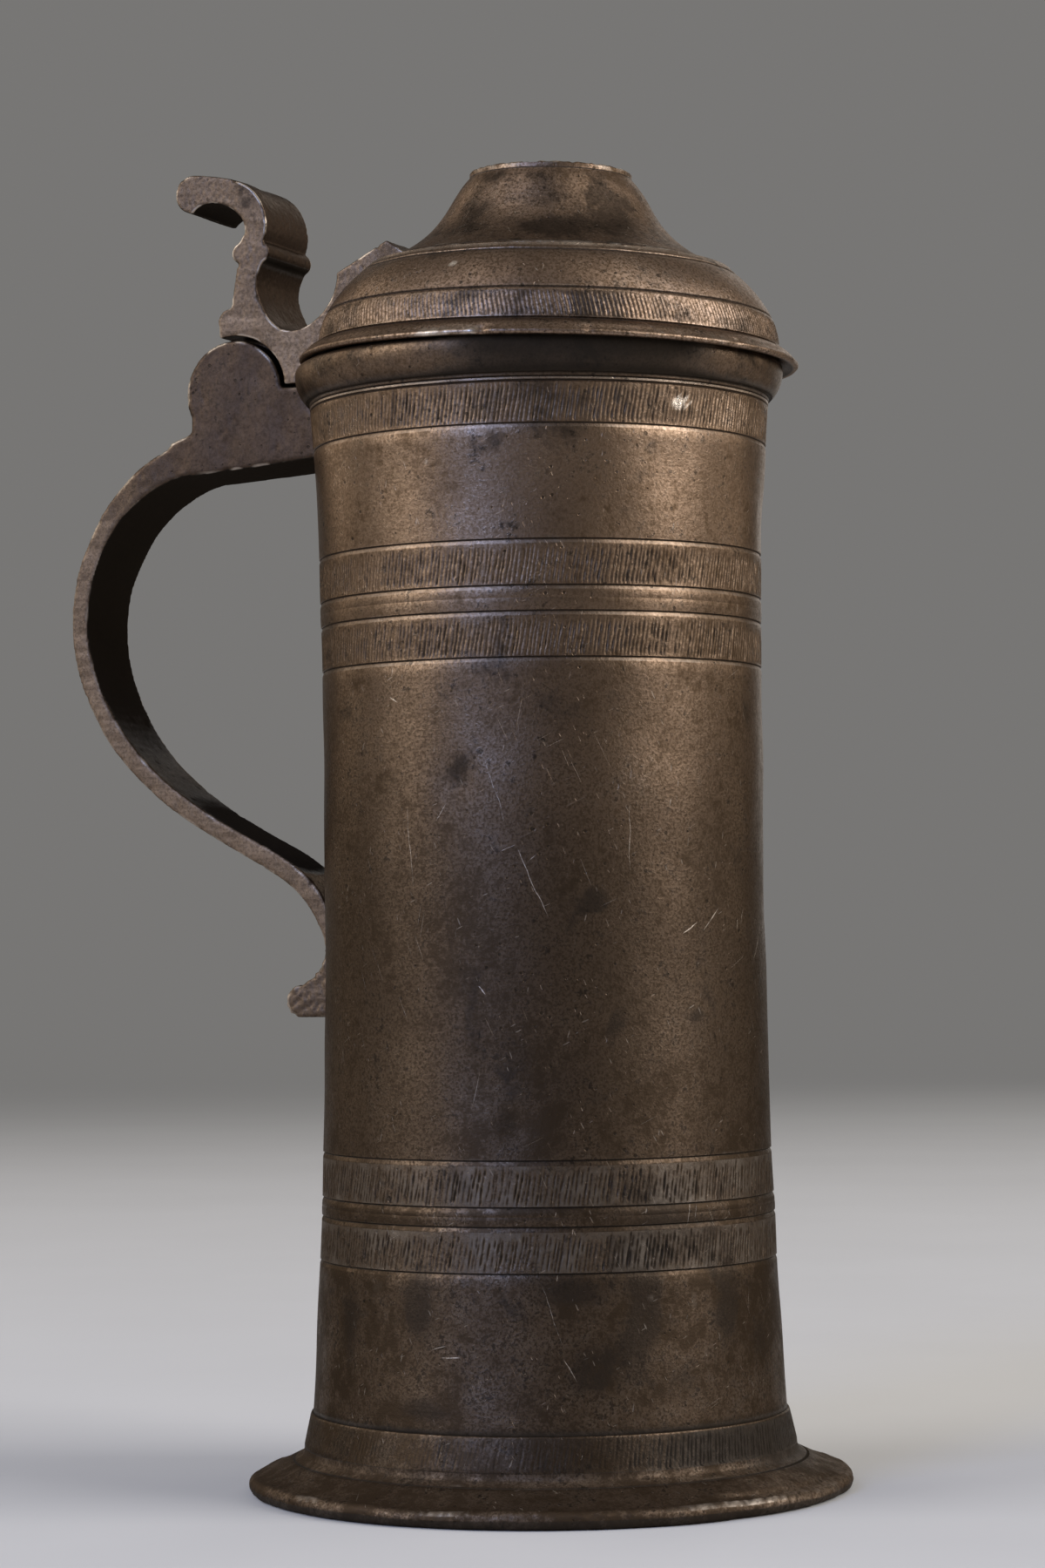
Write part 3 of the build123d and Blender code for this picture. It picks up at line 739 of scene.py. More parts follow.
def collar_outline():
    """The collar's section, up its side and down the mouth: radius, height, grime, wear and if inside."""
    bead_level = collar_top - collar_bead_radius
    bead_middle = collar_radius - collar_bead_radius
    swell = collar_radius - collar_foot_radius
    side_drop = bead_level - barrel_top
    side_radius = (swell**2 + side_drop**2) / (2 * swell)
    side_turn = math.degrees(math.asin(side_drop / side_radius))
    side_middle = (collar_radius - side_radius, bead_level)
    outline = []
    for radius, height in arc_points(side_middle, side_radius, -side_turn, 0, 9):
        low = (height - barrel_top) / side_drop
        outline.append((radius, height, 0.1 + 0.7 * (1 - low) ** 3, 0.0, False))
    outline[0] = outline[0][:2] + (0.9, 0.2, False)
    for radius, height in arc_points((bead_middle, bead_level), collar_bead_radius, 12, 90, 7):
        high = (height - bead_level) / collar_bead_radius
        outline.append((radius, height, 0.15, 0.2 * math.exp(-(((high - 0.45) / 0.25) ** 2)), False))
    for radius in np.linspace(bead_middle, mouth_inner_radius + 0.5, 4)[1:]:
        outline.append((radius, collar_top, 0.5, 0.1, True))
    outline.append((mouth_inner_radius + 0.15, collar_top - 0.15, 0.2, 0.5, True))
    for height in np.linspace(collar_top - 0.5, barrel_top, 5):
        outline.append((mouth_inner_radius, height, 0.4, 0.0, True))
    return outline


def make_collar(materials):
    count = 2 * coarse_count
    angles = circle(count)
    shaded = near_bearing(angles, *collar_brim_shade, spread=1.6)
    rings = []
    for radius, height, grime_and_shade, wear_and_highlight, inside in collar_outline():
        points = round_points(angles, radius, height)
        relief = 0.0 if inside else np.abs(uneven(points, collar_bumps))
        patchy = np.clip(0.6 + 0.5 * ripple(points, 14, 53), 0, 1) * (1 - shaded)
        high = smooth_step((height - barrel_top) / (collar_top - barrel_top) / 0.7)
        # Painted shade under the brim, strongest near the front bearing and towards the collar's top
        painted_brim_shade = 0.12 * high + shaded * (0.4 + 0.45 * high)
        rings.append(Ring(radius - relief, height, count, grime_and_shade + painted_brim_shade, wear_and_highlight * patchy, 0.52, inside))
    turned_piece("mouth_collar", rings, "flagon", materials)


# Lid

# Unevenness of dome and crown, and patches of the brim's shine: size, length and seed of each ripple
dome_bumps = ((0.06, 40, 61), (0.02, 12, 62))
crown_bumps = ((0.07, 28, 71), (0.025, 8, 72))
brim_patches = ((0.2, 5, 65), (0.15, 1.8, 67))

# Nicks in the brim's edge: bearing in degrees, width and depth
brim_nicks = ((-82, 1.3, 0.8), (-58, 0.8, 0.3), (-20, 1.6, 0.4), (70, 1.5, 0.5), (140, 1.1, 0.5))

# Bright patches on the brim, partly wear and partly painted highlight: bearing in degrees, width and
# strength
brim_wear_and_highlights = ((-93, 5.0, 0.5), (-85, 2.0, 0.4), (-40, 8.0, 0.1), (-24, 9.0, 0.12), (60, 9.0, 0.3))

# Bright chips on the dome: bearing in degrees, height, width, tallness and strength
dome_chips = ((-94, 16.9, 0.9, 0.7, 1.0), (-20, 13.5, 0.7, 0.6, 0.6), (110, 15.0, 1.0, 0.8, 0.8))

# Stains on the crown, given in the same way
crown_stains = (
    (-70, 5.4, 5.0, 1.2, 1.4),
    (-38, 7.0, 9.0, 4.0, 0.5),
    (-64, 4.2, 4.0, 1.2, 0.8),
    (-30, 12.0, 6.0, 3.0, 0.4),
    (-110, 9.0, 7.0, 4.0, 0.4),
    (80, 7.0, 9.0, 4.0, 0.7),
)

# Nicks in the crown's lip: bearing in degrees, width and depth
lip_nicks = ((-80, 0.9, 0.5), (-86, 0.5, 0.3), (-52, 0.6, 0.25), (40, 1.0, 0.5), (150, 0.7, 0.4))

# The crown's side: hollow at its foot and round at its shoulder
crown_side = np.polyfit(
    [crown_side_low, crown_middle_height, crown_upper_height, crown_side_high, crown_lip_foot],
    [crown_flare_radius, crown_middle_radius, crown_upper_radius, crown_shoulder_radius, crown_lip_radius],
    4,
)


def dome_share(height):
    """How far up the dome a height is, from 0 at the brim's root to 1 at the shoulder."""
    return (height - brim_root_height) / (dome_side_top - brim_root_height)


def dome_point(share):
    """Radius and height on the dome, from the brim's root to the shoulder."""
    radius = brim_root_radius - (brim_root_radius - dome_shoulder_radius) * share**dome_fullness
    return radius, brim_root_height + (dome_side_top - brim_root_height) * share


def dome_normal(share):
    before = dome_point(max(share - 0.01, 0))
    after = dome_point(min(share + 0.01, 1))
    along = (after[0] - before[0], after[1] - before[1])
    length = math.hypot(*along)
    return along[1] / length, -along[0] / length


def dome_ring(height, offset=0.0, count=coarse_count, grime_and_shade=0.0, wear_and_highlight=0.0, dull=0.0):
    share = dome_share(height)
    radius, level = dome_point(share)
    out, up = dome_normal(share)
    angles = circle(count)
    points = round_points(angles, radius, level)
    relief = offset - np.abs(uneven(points, dome_bumps))
    stain_and_shade = np.clip(0.5 * ripple(points, 20, 63) - 0.2, 0, 1) * 0.5 + dull
    chip = spots(angles, height, radius, dome_chips)
    return Ring(radius + out * relief, level + up * relief, count, grime_and_shade, wear_and_highlight + chip, stain_and_shade)


def dome_line(height, depth):
    """A turned line on the dome, as on the barrel."""
    return [
        dome_ring(height - 0.75, wear_and_highlight=0.3),
        dome_ring(height - 0.35, -depth * 0.55, wear_and_highlight=0.1),
        dome_ring(height - 0.08, -depth, grime_and_shade=0.9),
        dome_ring(height, -depth, grime_and_shade=1.0),
        dome_ring(height + 0.16, 0.0, wear_and_highlight=0.3),
    ]


def brim_outline():
    """The brim's section, from its underside round the edge to its root: radius, height, grime and wear."""
    edge_round = brim_edge_thickness / 2
    edge_middle = brim_radius - edge_round
    outline = [(brim_radius - brim_edge_width, 0.0, 0.8, 0.0)]
    for radius, height in arc_points((edge_middle, edge_round), edge_round, -90, 60, 6):
        outline.append((radius, height, 0.1, 0.16))
    for share in np.linspace(0, 1, 9)[1:]:
        bulge = brim_bulge * hump(share)
        radius = edge_middle + (brim_root_radius - edge_middle) * share + bulge * 0.6
        height = brim_edge_thickness + brim_rise * share + bulge * 0.8
        outline.append((radius, height, 0.6 * share**6, 0.3 * (1 - share)))
    return outline


def brim_rings():
    """The brim, nicked along its edge, with bright patches that are partly wear and partly painted
    highlight.
    """
    count = 2 * coarse_count
    angles = circle(count)
    nick = notches(angles, brim_radius, brim_nicks)
    shine = notches(angles, brim_radius, brim_wear_and_highlights)
    rings = []
    for radius, height, grime_and_shade, wear_and_highlight in brim_outline():
        points = round_points(angles, radius, height)
        near_edge = math.exp(-(((brim_radius - radius) / 1.1) ** 2))
        inward = near_edge * (nick + 0.05 * np.abs(ripple(points, 9, 64)))
        patchy = np.clip(0.7 + uneven(points, brim_patches), 0, 1)
        # Near the edge, patches of wear and painted highlight
        bright = wear_and_highlight * patchy + near_edge**0.5 * shine * patchy * (grime_and_shade < 0.5)
        rings.append(Ring(radius - inward, height, count, grime_and_shade, np.clip(bright, 0, 1)))
    return rings


def lid_band_rings():
    """The band of strokes round the dome."""
    count = stroke_count(brim_root_radius)
    fine = count * samples_per_stroke
    angles = circle(fine)
    rings = []
    for height in [lid_band_low] + levels(lid_band_low, lid_stroke_top, lid_row_step) + [lid_stroke_top]:
        share = (height - lid_band_low) / (lid_stroke_top - lid_band_low)
        cut = strokes(angles, share, count, lid_stroke_lean, seed=66, ragged=0.35)
        rings.append(dome_ring(height, -lid_stroke_depth * cut, fine, 0.1 + 0.36 * cut**0.9, 0.05, 0.42))
    return rings


def dome_inside_rings():
    """The dome's hollow, from the crown's bore down to the brim."""
    bore = crown_flare_radius - crown_wall
    rings = [
        Ring(bore, dome_height, grime_and_shade=0.5),
        Ring(bore, dome_height - dome_wall, grime_and_shade=0.5, inside=True),
    ]
    for height in levels(brim_root_height, dome_side_top, 1.8)[::-1]:
        share = dome_share(height)
        radius, level = dome_point(share)
        out, up = dome_normal(share)
        rings.append(Ring(radius - out * dome_wall, level - up * dome_wall, grime_and_shade=0.4, inside=True))
    root = brim_root_radius - brim_thickness - 0.5
    return rings + [Ring(root, brim_root_height - brim_thickness, grime_and_shade=0.5, inside=True)]


def make_dome(materials):
    rings = brim_rings()
    rings.append(dome_ring(brim_root_height + 0.12, -0.3, grime_and_shade=0.8))
    rings.append(dome_ring(brim_root_height + 0.45, 0.0, wear_and_highlight=0.35))
    rings += lid_band_rings()
    rings += dome_line(lid_band_high, 0.3)
    for height in levels(lid_band_high + 0.2, dome_side_top - 1.6, 0.9):
        rings.append(dome_ring(height))
    rings += dome_line(dome_side_top - 0.9, 0.2)
    rings.append(dome_ring(dome_side_top - 0.25, wear_and_highlight=0.2))
    rings.append(dome_ring(dome_side_top, wear_and_highlight=0.35))
    rings.append(Ring(dome_shoulder_radius - dome_shoulder_chamfer, dome_height, wear_and_highlight=0.35))
    rings.append(Ring(crown_foot_radius + 0.8, dome_height, grime_and_shade=0.3))
    rings.append(Ring(crown_foot_radius + 0.1, dome_height - 0.12, grime_and_shade=0.9))
    turned_piece("lid_dome", rings + dome_inside_rings(), "lid", materials)


def crown_radius(height):
    return float(np.polyval(crown_side, height))


def crown_outline():
    """The crown's section, up its side and over its lip: radius, height, grime and wear."""
    foot, lip, bore = crown_foot_radius, crown_lip_radius, crown_lip_bore
    outline = [
        (foot, 0.0, 0.8, 0.0),
        (foot, crown_foot_step * 0.6, 0.2, 0.4),
        (foot - 0.35, crown_foot_step, 0.1, 0.55),
        (foot - 1.2, crown_foot_step + 0.1, 0.8, 0.0),
        (foot - 1.8, crown_foot_step + 0.6, 0.2, 0.35),
    ]
    for height in np.linspace(crown_side_low, crown_lip_foot - 0.35, 34):
        low = (height - crown_side_low) / (crown_lip_foot - crown_side_low)
        outline.append((crown_radius(height), height, 0.15 * (1 - low), 0.0))
    return outline + [
        (lip + 0.02, crown_lip_foot + 0.05, 0.9, 0.0),
        (lip, crown_lip_foot + 0.35, 0.0, 0.3),
        (lip, crown_height - 0.35, 0.0, 0.35),
        (lip - 0.3, crown_height, 0.0, 0.5),
        (bore + 0.25, crown_height, 0.1, 0.5),
        (bore, crown_height - 0.25, 0.5, 0.0),
        (bore, crown_lip_foot, 0.9, 0.0),
    ]


def make_crown(materials):
    count = 2 * coarse_count
    angles = circle(count)
    nick = notches(angles, crown_lip_radius, lip_nicks)
    rings = []
    for radius, height, grime_and_shade, wear_and_highlight in crown_outline():
        points = round_points(angles, radius, height)
        relief = np.abs(uneven(points, crown_bumps))
        stain_and_shade = 0.42 + spots(angles, height, radius, crown_stains)
        patchy = np.clip(0.6 + 0.5 * ripple(points, 5, 73), 0, 1)
        worn_down = 0.1 * np.abs(ripple(points, 3, 74)) + nick if height > crown_height - 0.1 else 0.0
        level = dome_height + height - worn_down
        rings.append(Ring(radius - relief, level, count, grime_and_shade, wear_and_highlight * patchy, np.clip(stain_and_shade, 0, 1)))
    ledge = crown_lip_bore - top_disc_ledge
    rings.append(Ring(ledge, dome_height + crown_lip_foot, count, 0.5))
    rings.append(Ring(ledge, dome_height + crown_lip_foot - crown_wall, count, 0.5, inside=True))
    for height in np.linspace(crown_side_high - 0.6, crown_side_low, 9):
        radius = crown_radius(height) - crown_wall
        rings.append(Ring(radius, dome_height + height - 0.9, count, 0.4, inside=True))
    rings.append(Ring(crown_flare_radius - crown_wall, dome_height, count, 0.5, inside=True))
    turned_piece("lid_crown", rings, "lid", materials)


def make_top_disc(materials):
    """The disc that closes the crown, slightly dished."""
    low = dome_height + crown_lip_foot
    high = low + top_disc_thickness
    reach = np.linspace(0.6, top_disc_radius, 40)
    rings = [Ring(radius, low, grime_and_shade=0.5, inside=True) for radius in reach]
    rings.append(Ring(top_disc_radius, low + 0.1, grime_and_shade=0.9))
    rings.append(Ring(top_disc_radius, high - 0.25, grime_and_shade=0.9))
    for radius in reach[::-1] - 0.15:
        points = round_points(circle(coarse_count), radius, high)
        dish = top_disc_dish * (1 - (radius / top_disc_radius) ** 2)
        level = high - dish - np.abs(0.06 * ripple(points, 9, 81))
        rings.append(Ring(radius, level, grime_and_shade=0.2, stain_and_shade=np.clip(0.4 * ripple(points, 12, 82), 0, 1)))
    turned_piece("lid_top_disc", rings, "lid", materials, closed=False)


# Cast pieces: handle, hinge, bracket and thumbpiece

weld_distance = 1e-6
easing_passes = 4
convex_bend = 0.035
hollow_bend = 0.03
bite_depth = 0.2
skin_loss = 0.06
vessel_seat_depth = 0.7
vessel_seat_reach = 0.5
lid_seat_depth = 0.6
lid_seat_reach = 0.6
lid_seat_radius = 30.0

# Levels at which the patina changes and the painted shade under the lever begins, and the height over which
# each does
lug_patina = (205, 25)
lever_shade_level = (262, 6)
lever_patina = (258, 10)

# Middle of the handle's opening
grip_middle = np.array([-62.0, 0.0, 152.0])

lid_turn = np.array(lid_place.to_3x3())
lid_origin = np.array(lid_place.translation) / MM


def joined_mesh(nodes):
    """One mesh of some solids, with their corners welded."""
    work = bmesh.new()
    for node in nodes:
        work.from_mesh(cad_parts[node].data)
    bmesh.ops.remove_doubles(work, verts=work.verts, dist=weld_distance)
    mesh = bpy.data.meshes.new(nodes[0] + "_work")
    work.to_mesh(mesh)
    work.free()
    return mesh


def remeshed(nodes, voxel):
    """A fine even mesh of some solids, with the edges eased."""
    holder = bpy.data.objects.new(nodes[0] + "_work", joined_mesh(nodes))
    bpy.context.scene.collection.objects.link(holder)
    remesh = holder.modifiers.new("even", "REMESH")
    remesh.mode = "VOXEL"
    remesh.voxel_size = voxel * MM
    ease = holder.modifiers.new("ease", "SMOOTH")
    ease.factor = 0.5
    ease.iterations = easing_passes
    bpy.context.view_layer.update()
    evaluated = holder.evaluated_get(bpy.context.evaluated_depsgraph_get())
    result = bpy.data.meshes.new_from_object(evaluated)
    bpy.data.objects.remove(holder)
    result.materials.clear()
    result.name = nodes[0]
    return result


def mesh_arrays(mesh):
    """A mesh's points in millimetres, its normals and its edges."""
    points = np.empty(len(mesh.vertices) * 3)
    mesh.vertices.foreach_get("co", points)
    normals = np.empty(len(mesh.vertices) * 3)
    mesh.vertex_normals.foreach_get("vector", normals)
    edges = np.empty(len(mesh.edges) * 2, int)
    mesh.edges.foreach_get("vertices", edges)
    return points.reshape(-1, 3) / MM, normals.reshape(-1, 3), edges.reshape(-1, 2)


def neighbour_mean(values, edges):
    """The mean of each point's neighbours."""
    total = np.zeros_like(values)
    count = np.bincount(edges.ravel(), minlength=len(values))
    np.add.at(total, edges[:, 0], values[edges[:, 1]])
    np.add.at(total, edges[:, 1], values[edges[:, 0]])
    return total / np.maximum(count, 1).reshape((-1,) + (1,) * (values.ndim - 1))


def edge_measure(points, normals, edges):
    """Where the surface is convex, above 0, and where it is hollow, below 0."""
    bend = np.einsum("ij,ij->i", points - neighbour_mean(points, edges), normals)
    for _ in range(2):
        bend = 0.5 * bend + 0.5 * neighbour_mean(bend, edges)
    return bend


def make_cast(nodes, body, voxel, shading, sink, materials):
    """Cast pieces joined in one: the solids' shape with eased, worn edges and an uneven skin."""
    mesh = remeshed(nodes, voxel)
    points, normals, edges = mesh_arrays(mesh)
    filed, grime_and_shade, coarseness = shading(points, normals)
    bend = edge_measure(points, normals, edges) * (lid_voxel / voxel) ** 2
    convex = smooth_step(bend / convex_bend)
    hollow = smooth_step(-bend / hollow_bend)
    seed = 100 + len(nodes[0])
    swell = 0.05 * ripple(points, 14, seed) + 0.012 * ripple(points, 4, seed + 1)
    grain = 0.012 * coarseness * ripple(points, 1.6, seed + 2)
    bites = np.clip(ripple(points, 3.5, seed + 3) - 1.5, 0, 2) * bite_depth
    moved = points + normals * (swell + grain - bites * (0.3 + convex) - skin_loss)[:, None]
    moved = sink(points, moved)
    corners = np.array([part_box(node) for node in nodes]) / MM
    moved = np.clip(moved, corners[:, 0].min(axis=0), corners[:, 1].max(axis=0))
    mesh.vertices.foreach_set("co", (moved * MM).ravel())
    patchy = np.clip(0.55 + 0.45 * ripple(points, 6, seed + 4), 0, 1)
    add_values(mesh, "wear_and_highlight", np.clip(0.95 * convex * patchy, 0, 1))
    add_values(mesh, "grime_and_shade", np.clip(grime_and_shade + 0.7 * hollow + 0.5 * bites, 0, 1))
    add_values(mesh, "stain_and_shade", np.zeros(len(points)))
    add_values(mesh, "filed", filed)
    mesh.shade_smooth()
    mesh.update()
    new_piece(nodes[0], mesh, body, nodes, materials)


def side_faces(normals):
    """1 on the flat sides of a piece that lies along the handle's plane."""
    return rise(np.abs(normals[:, 1]), 0.55, 0.3)


def handle_shading(points, normals):
    """Dark smooth lugs, a strap bare on its flanks with painted shade on the faces that look into the
    handle's opening, and a rough end.
    """
    level = points[:, 2]
    flank = side_faces(normals)
    lug = rise(level, *lug_patina)
    end = smooth_step((terminal_top - level) / 2)
    towards = grip_middle - points
    towards /= np.linalg.norm(towards, axis=1)[:, None]
    facing = np.einsum("ij,ij->i", towards, normals)
    # Painted shade on the faces that look into the handle's opening, below the strap's top
    painted_inner_shade = rise(facing, 0.3, 0.3) * (1 - flank) * (1 - end)
    painted_inner_shade *= smooth_step((strap_top + 12 - level) / 4)
    bare = (flank + 0.5 * (1 - flank)) * (1 - painted_inner_shade)
    filed = bare * (1 - 0.95 * lug) * (1 - end) + 0.52 * end
    return filed, painted_inner_shade, 1.0 - 0.4 * lug + 7.0 * end


def lid_cast_shading(points, normals):
    """Filed flanks, and painted shade on the downward faces between them, high on the lever."""
    level = points[:, 2]
    flank = side_faces(normals)
    # Painted shade on downward faces high on the lever
    painted_under_shade = rise(-normals[:, 2], 0.25, 0.4) * rise(level, *lever_shade_level)
    worn = 1 - 0.45 * rise(level, *lever_patina)
    return flank * worn, painted_under_shade * (1 - flank), np.ones(len(points))


def sink_into_vessel(points, moved):
    """Seats a piece in the barrel and collar that it is soldered to."""
    radius = np.hypot(points[:, 0], points[:, 1])
    level = points[:, 2]
    wall = np.array([barrel_radius(value) for value in np.clip(level, foot_height, barrel_top)])
    on_collar = smooth_step((level - barrel_top + 1.0) / 2.0)
    wall = wall + on_collar * (collar_radius - wall)
    near = smooth_step(1 - (radius - wall) / vessel_seat_reach)
    inward = -points[:, :2] / np.maximum(radius, 1)[:, None]
    result = moved.copy()
    result[:, :2] += inward * (vessel_seat_depth * near)[:, None]
    return result


def sink_into_lid(points, moved):
    """Seats the bracket in the dome and crown that it is soldered to."""
    local = (points - lid_origin) @ lid_turn
    height = local[:, 2]
    radius = np.hypot(local[:, 0], local[:, 1])
    edge_round = brim_edge_thickness / 2
    shares = np.clip(dome_share(height), 0, 1)
    wall = dome_point(shares)[0]
    slope = brim_radius - edge_round - (height - brim_edge_thickness) * (brim_reach - edge_round) / brim_rise
    wall = np.where(height < brim_root_height, np.clip(slope, 0, brim_radius), wall)
    on_crown = np.polyval(crown_side, np.clip(height - dome_height, crown_side_low, crown_lip_foot))
    wall = np.where(height > dome_height - 0.2, on_crown, wall)
    near = smooth_step(1 - (radius - wall) / lid_seat_reach) * (radius > lid_seat_radius)
    towards = np.stack([-local[:, 0], -local[:, 1], np.zeros(len(local))], axis=1)
    towards /= np.maximum(radius, 1)[:, None]
    return moved + (towards @ lid_turn.T) * (lid_seat_depth * near)[:, None]


# Materials

# Places of the colour sockets on a mix node
mix_first = 6
mix_second = 7
mix_result = 2


class Value:
    """A value in a material, which can be added, multiplied and so on."""

    def __init__(self, made, socket):
        self.made = made
        self.socket = socket

    def math(self, operation, other):
        return self.made.value("Math", "Value", {0: self, 1: other}, operation=operation)

    def __add__(self, other):
        return self.math("ADD", other)

    def __sub__(self, other):
        return self.math("SUBTRACT", other)

    def __mul__(self, other):
        return self.math("MULTIPLY", other)

    def most(self, other):
        """The greater of the two."""
        return self.math("MAXIMUM", other)

    def ramp(self, low, high, start=0.0, end=1.0):
        """A smooth change from start to end as this value goes from low to high."""
        inputs = {"Value": self, "From Min": low, "From Max": high, "To Min": start, "To Max": end}
        return self.made.value("MapRange", "Result", inputs, interpolation_type="SMOOTHSTEP")


class Nodes:
    """A material whose nodes are made and joined in short calls."""

    def __init__(self, name):
        self.material = bpy.data.materials.new(name)
        self.material.use_nodes = True
        self.tree = self.material.node_tree
        self.shader = self.tree.nodes["Principled BSDF"]
        self.place = self.value("TexCoord", "Object", {})

    def feed(self, socket, given):
        if isinstance(given, Value):
            self.tree.links.new(given.socket, socket)
        else:
            socket.default_value = given

    def set(self, name, given):
        """Gives the shader a value or a constant."""
        self.feed(self.shader.inputs[name], given)

    def node(self, kind, inputs, **settings):
        """A new node with these settings, and with values or constants as its inputs."""
        node = self.tree.nodes.new("ShaderNode" + kind)
        for name, setting in settings.items():
            setattr(node, name, setting)
        for name, given in inputs.items():
            self.feed(node.inputs[name], given)
        return node

    def value(self, kind, output, inputs, **settings):
        return Value(self, self.node(kind, inputs, **settings).outputs[output])

    def split(self, vector):
        return [Value(self, socket) for socket in self.node("SeparateXYZ", {"Vector": vector}).outputs]

    def vector(self, first, second):
        return self.value("CombineXYZ", "Vector", {"X": first, "Y": second})

    def stretched(self, vector, size, turn=0.0, middle=(0, 0, 0)):
        """Turns the vector about a middle, then measures it in these sizes along its new axes."""
        inputs = {"Vector": vector, "Location": middle, "Rotation": (0, 0, turn), "Scale": size}
        return self.value("Mapping", "Vector", inputs, vector_type="TEXTURE")

    def noise(self, vector, scale, detail=4.0, roughness=0.55, distortion=0.0, output="Fac"):
        inputs = {"Vector": vector, "Scale": scale, "Detail": detail, "Roughness": roughness}
        inputs["Distortion"] = distortion
        return self.value("TexNoise", output, inputs)

    def wavy(self, vector, scale, amount):
        """The vector, shifted a little to and fro."""
        shift = self.noise(vector, scale, 2.0, 0.5, output="Color")
        inputs = {0: shift, 1: (amount, amount, 0.0), 2: vector}
        return self.value("VectorMath", "Vector", inputs, operation="MULTIPLY_ADD")

    def length(self, vector):
        return self.value("VectorMath", "Value", {0: vector}, operation="LENGTH")

    def cells(self, vector, scale):
        """Distance to the middle of a random cell, and a random value of its own."""
        node = self.node("TexVoronoi", {"Vector": vector, "Scale": scale})
        chance = self.value("SeparateColor", "Red", {"Color": Value(self, node.outputs["Color"])})
        return Value(self, node.outputs["Distance"]), chance

    def mix(self, share, first, second):
        """A colour between two."""
        inputs = {"Factor": share, mix_first: first, mix_second: second}
        return self.value("Mix", mix_result, inputs, data_type="RGBA")

    def carried(self, name):
        """What the mesh's points carry under a name."""
        return self.value("Attribute", "Fac", {}, attribute_name=name)

    def bump(self, height, distance, strength):
        return self.value("Bump", "Normal", {"Height": height, "Distance": distance, "Strength": strength})


def colour(red, green, blue):
    return (red, green, blue, 1.0)


soot_and_shade = colour(0.020, 0.016, 0.012)
stain_and_shade_brown = colour(0.032, 0.024, 0.018)

# Directions of the scratches on the surface, counted from level, in degrees
scratch_leans = (78, -64, 24, 112)

# Radius that turned surfaces are rolled out at, in metres
roll_radius = 0.05

# How far the wave of the marks moves them, in metres, and the middle of that shift
mark_wave = 0.0012
mark_shift = Vector((mark_wave / 2, mark_wave / 2))


def round_place(made):
    """A turned surface rolled out flat: the way round it, and the way up and inwards."""
    across, along, up = made.split(made.place)
    round_way = along.math("ARCTAN2", across) * roll_radius
    radius = (across * across + along * along).math("SQRT", 0.0)
    return made.vector(round_way, up - radius)


def flank_place(made):
    """The handle's plane, sheared so that faces across it are covered too."""
    across, along, up = made.split(made.place)
    return made.vector(across + along * 0.5, up + along * 0.6)


def rolled_out(bearing, level):
    """Where a place on the barrel lies on the rolled-out surface, in metres."""
    return Vector((math.radians(bearing) * roll_radius, (level - barrel_radius(level)) * MM))


def add_scratches(made, size, width, rarity):
    """Thin straight scratches in patches, each layer with its own direction."""
    patch = made.noise(made.flat, 0.45 / size, 2)
    total = None
    for number, lean in enumerate(scratch_leans):
        turned = made.stretched(made.flat, (size, width, 1.0), math.radians(lean))
        line = made.noise(turned, 1.0 + 0.13 * number, 0).ramp(rarity, rarity + 0.04)
        total = total.most(line) if total else line
    return total * patch.ramp(0.48, 0.6)


def add_marks(made, marks):
    """Thin tapered marks on the barrel, each between two places."""
    bent = made.wavy(made.flat, 160, mark_wave)
    total = None
    for first_bearing, first_level, last_bearing, last_level, width, strength in marks:
        first = rolled_out(first_bearing, first_level)
        last = rolled_out(last_bearing, last_level)
        along = last - first
        middle = (first + last) / 2 + mark_shift
        size = (along.length * 0.55, width * MM * 0.25, 1.0)
        across = made.stretched(bent, size, math.atan2(along.y, along.x), (middle.x, middle.y, 0))
        mark = made.length(across).ramp(1.0, 0.55, 0.0, strength)
        total = total.most(mark) if total else mark
    return total


def add_pits(made, scale, rarity, size):
    """Small pits of different sizes, in clusters."""
    distance, chance = made.cells(made.place, scale)
    reach = chance.ramp(rarity, 1.0, 0.0, size)
    cluster = made.noise(made.place, 60, 3).ramp(0.42, 0.6, 0.3, 1.0)
    return (distance - reach * cluster).ramp(0.0, -0.06)


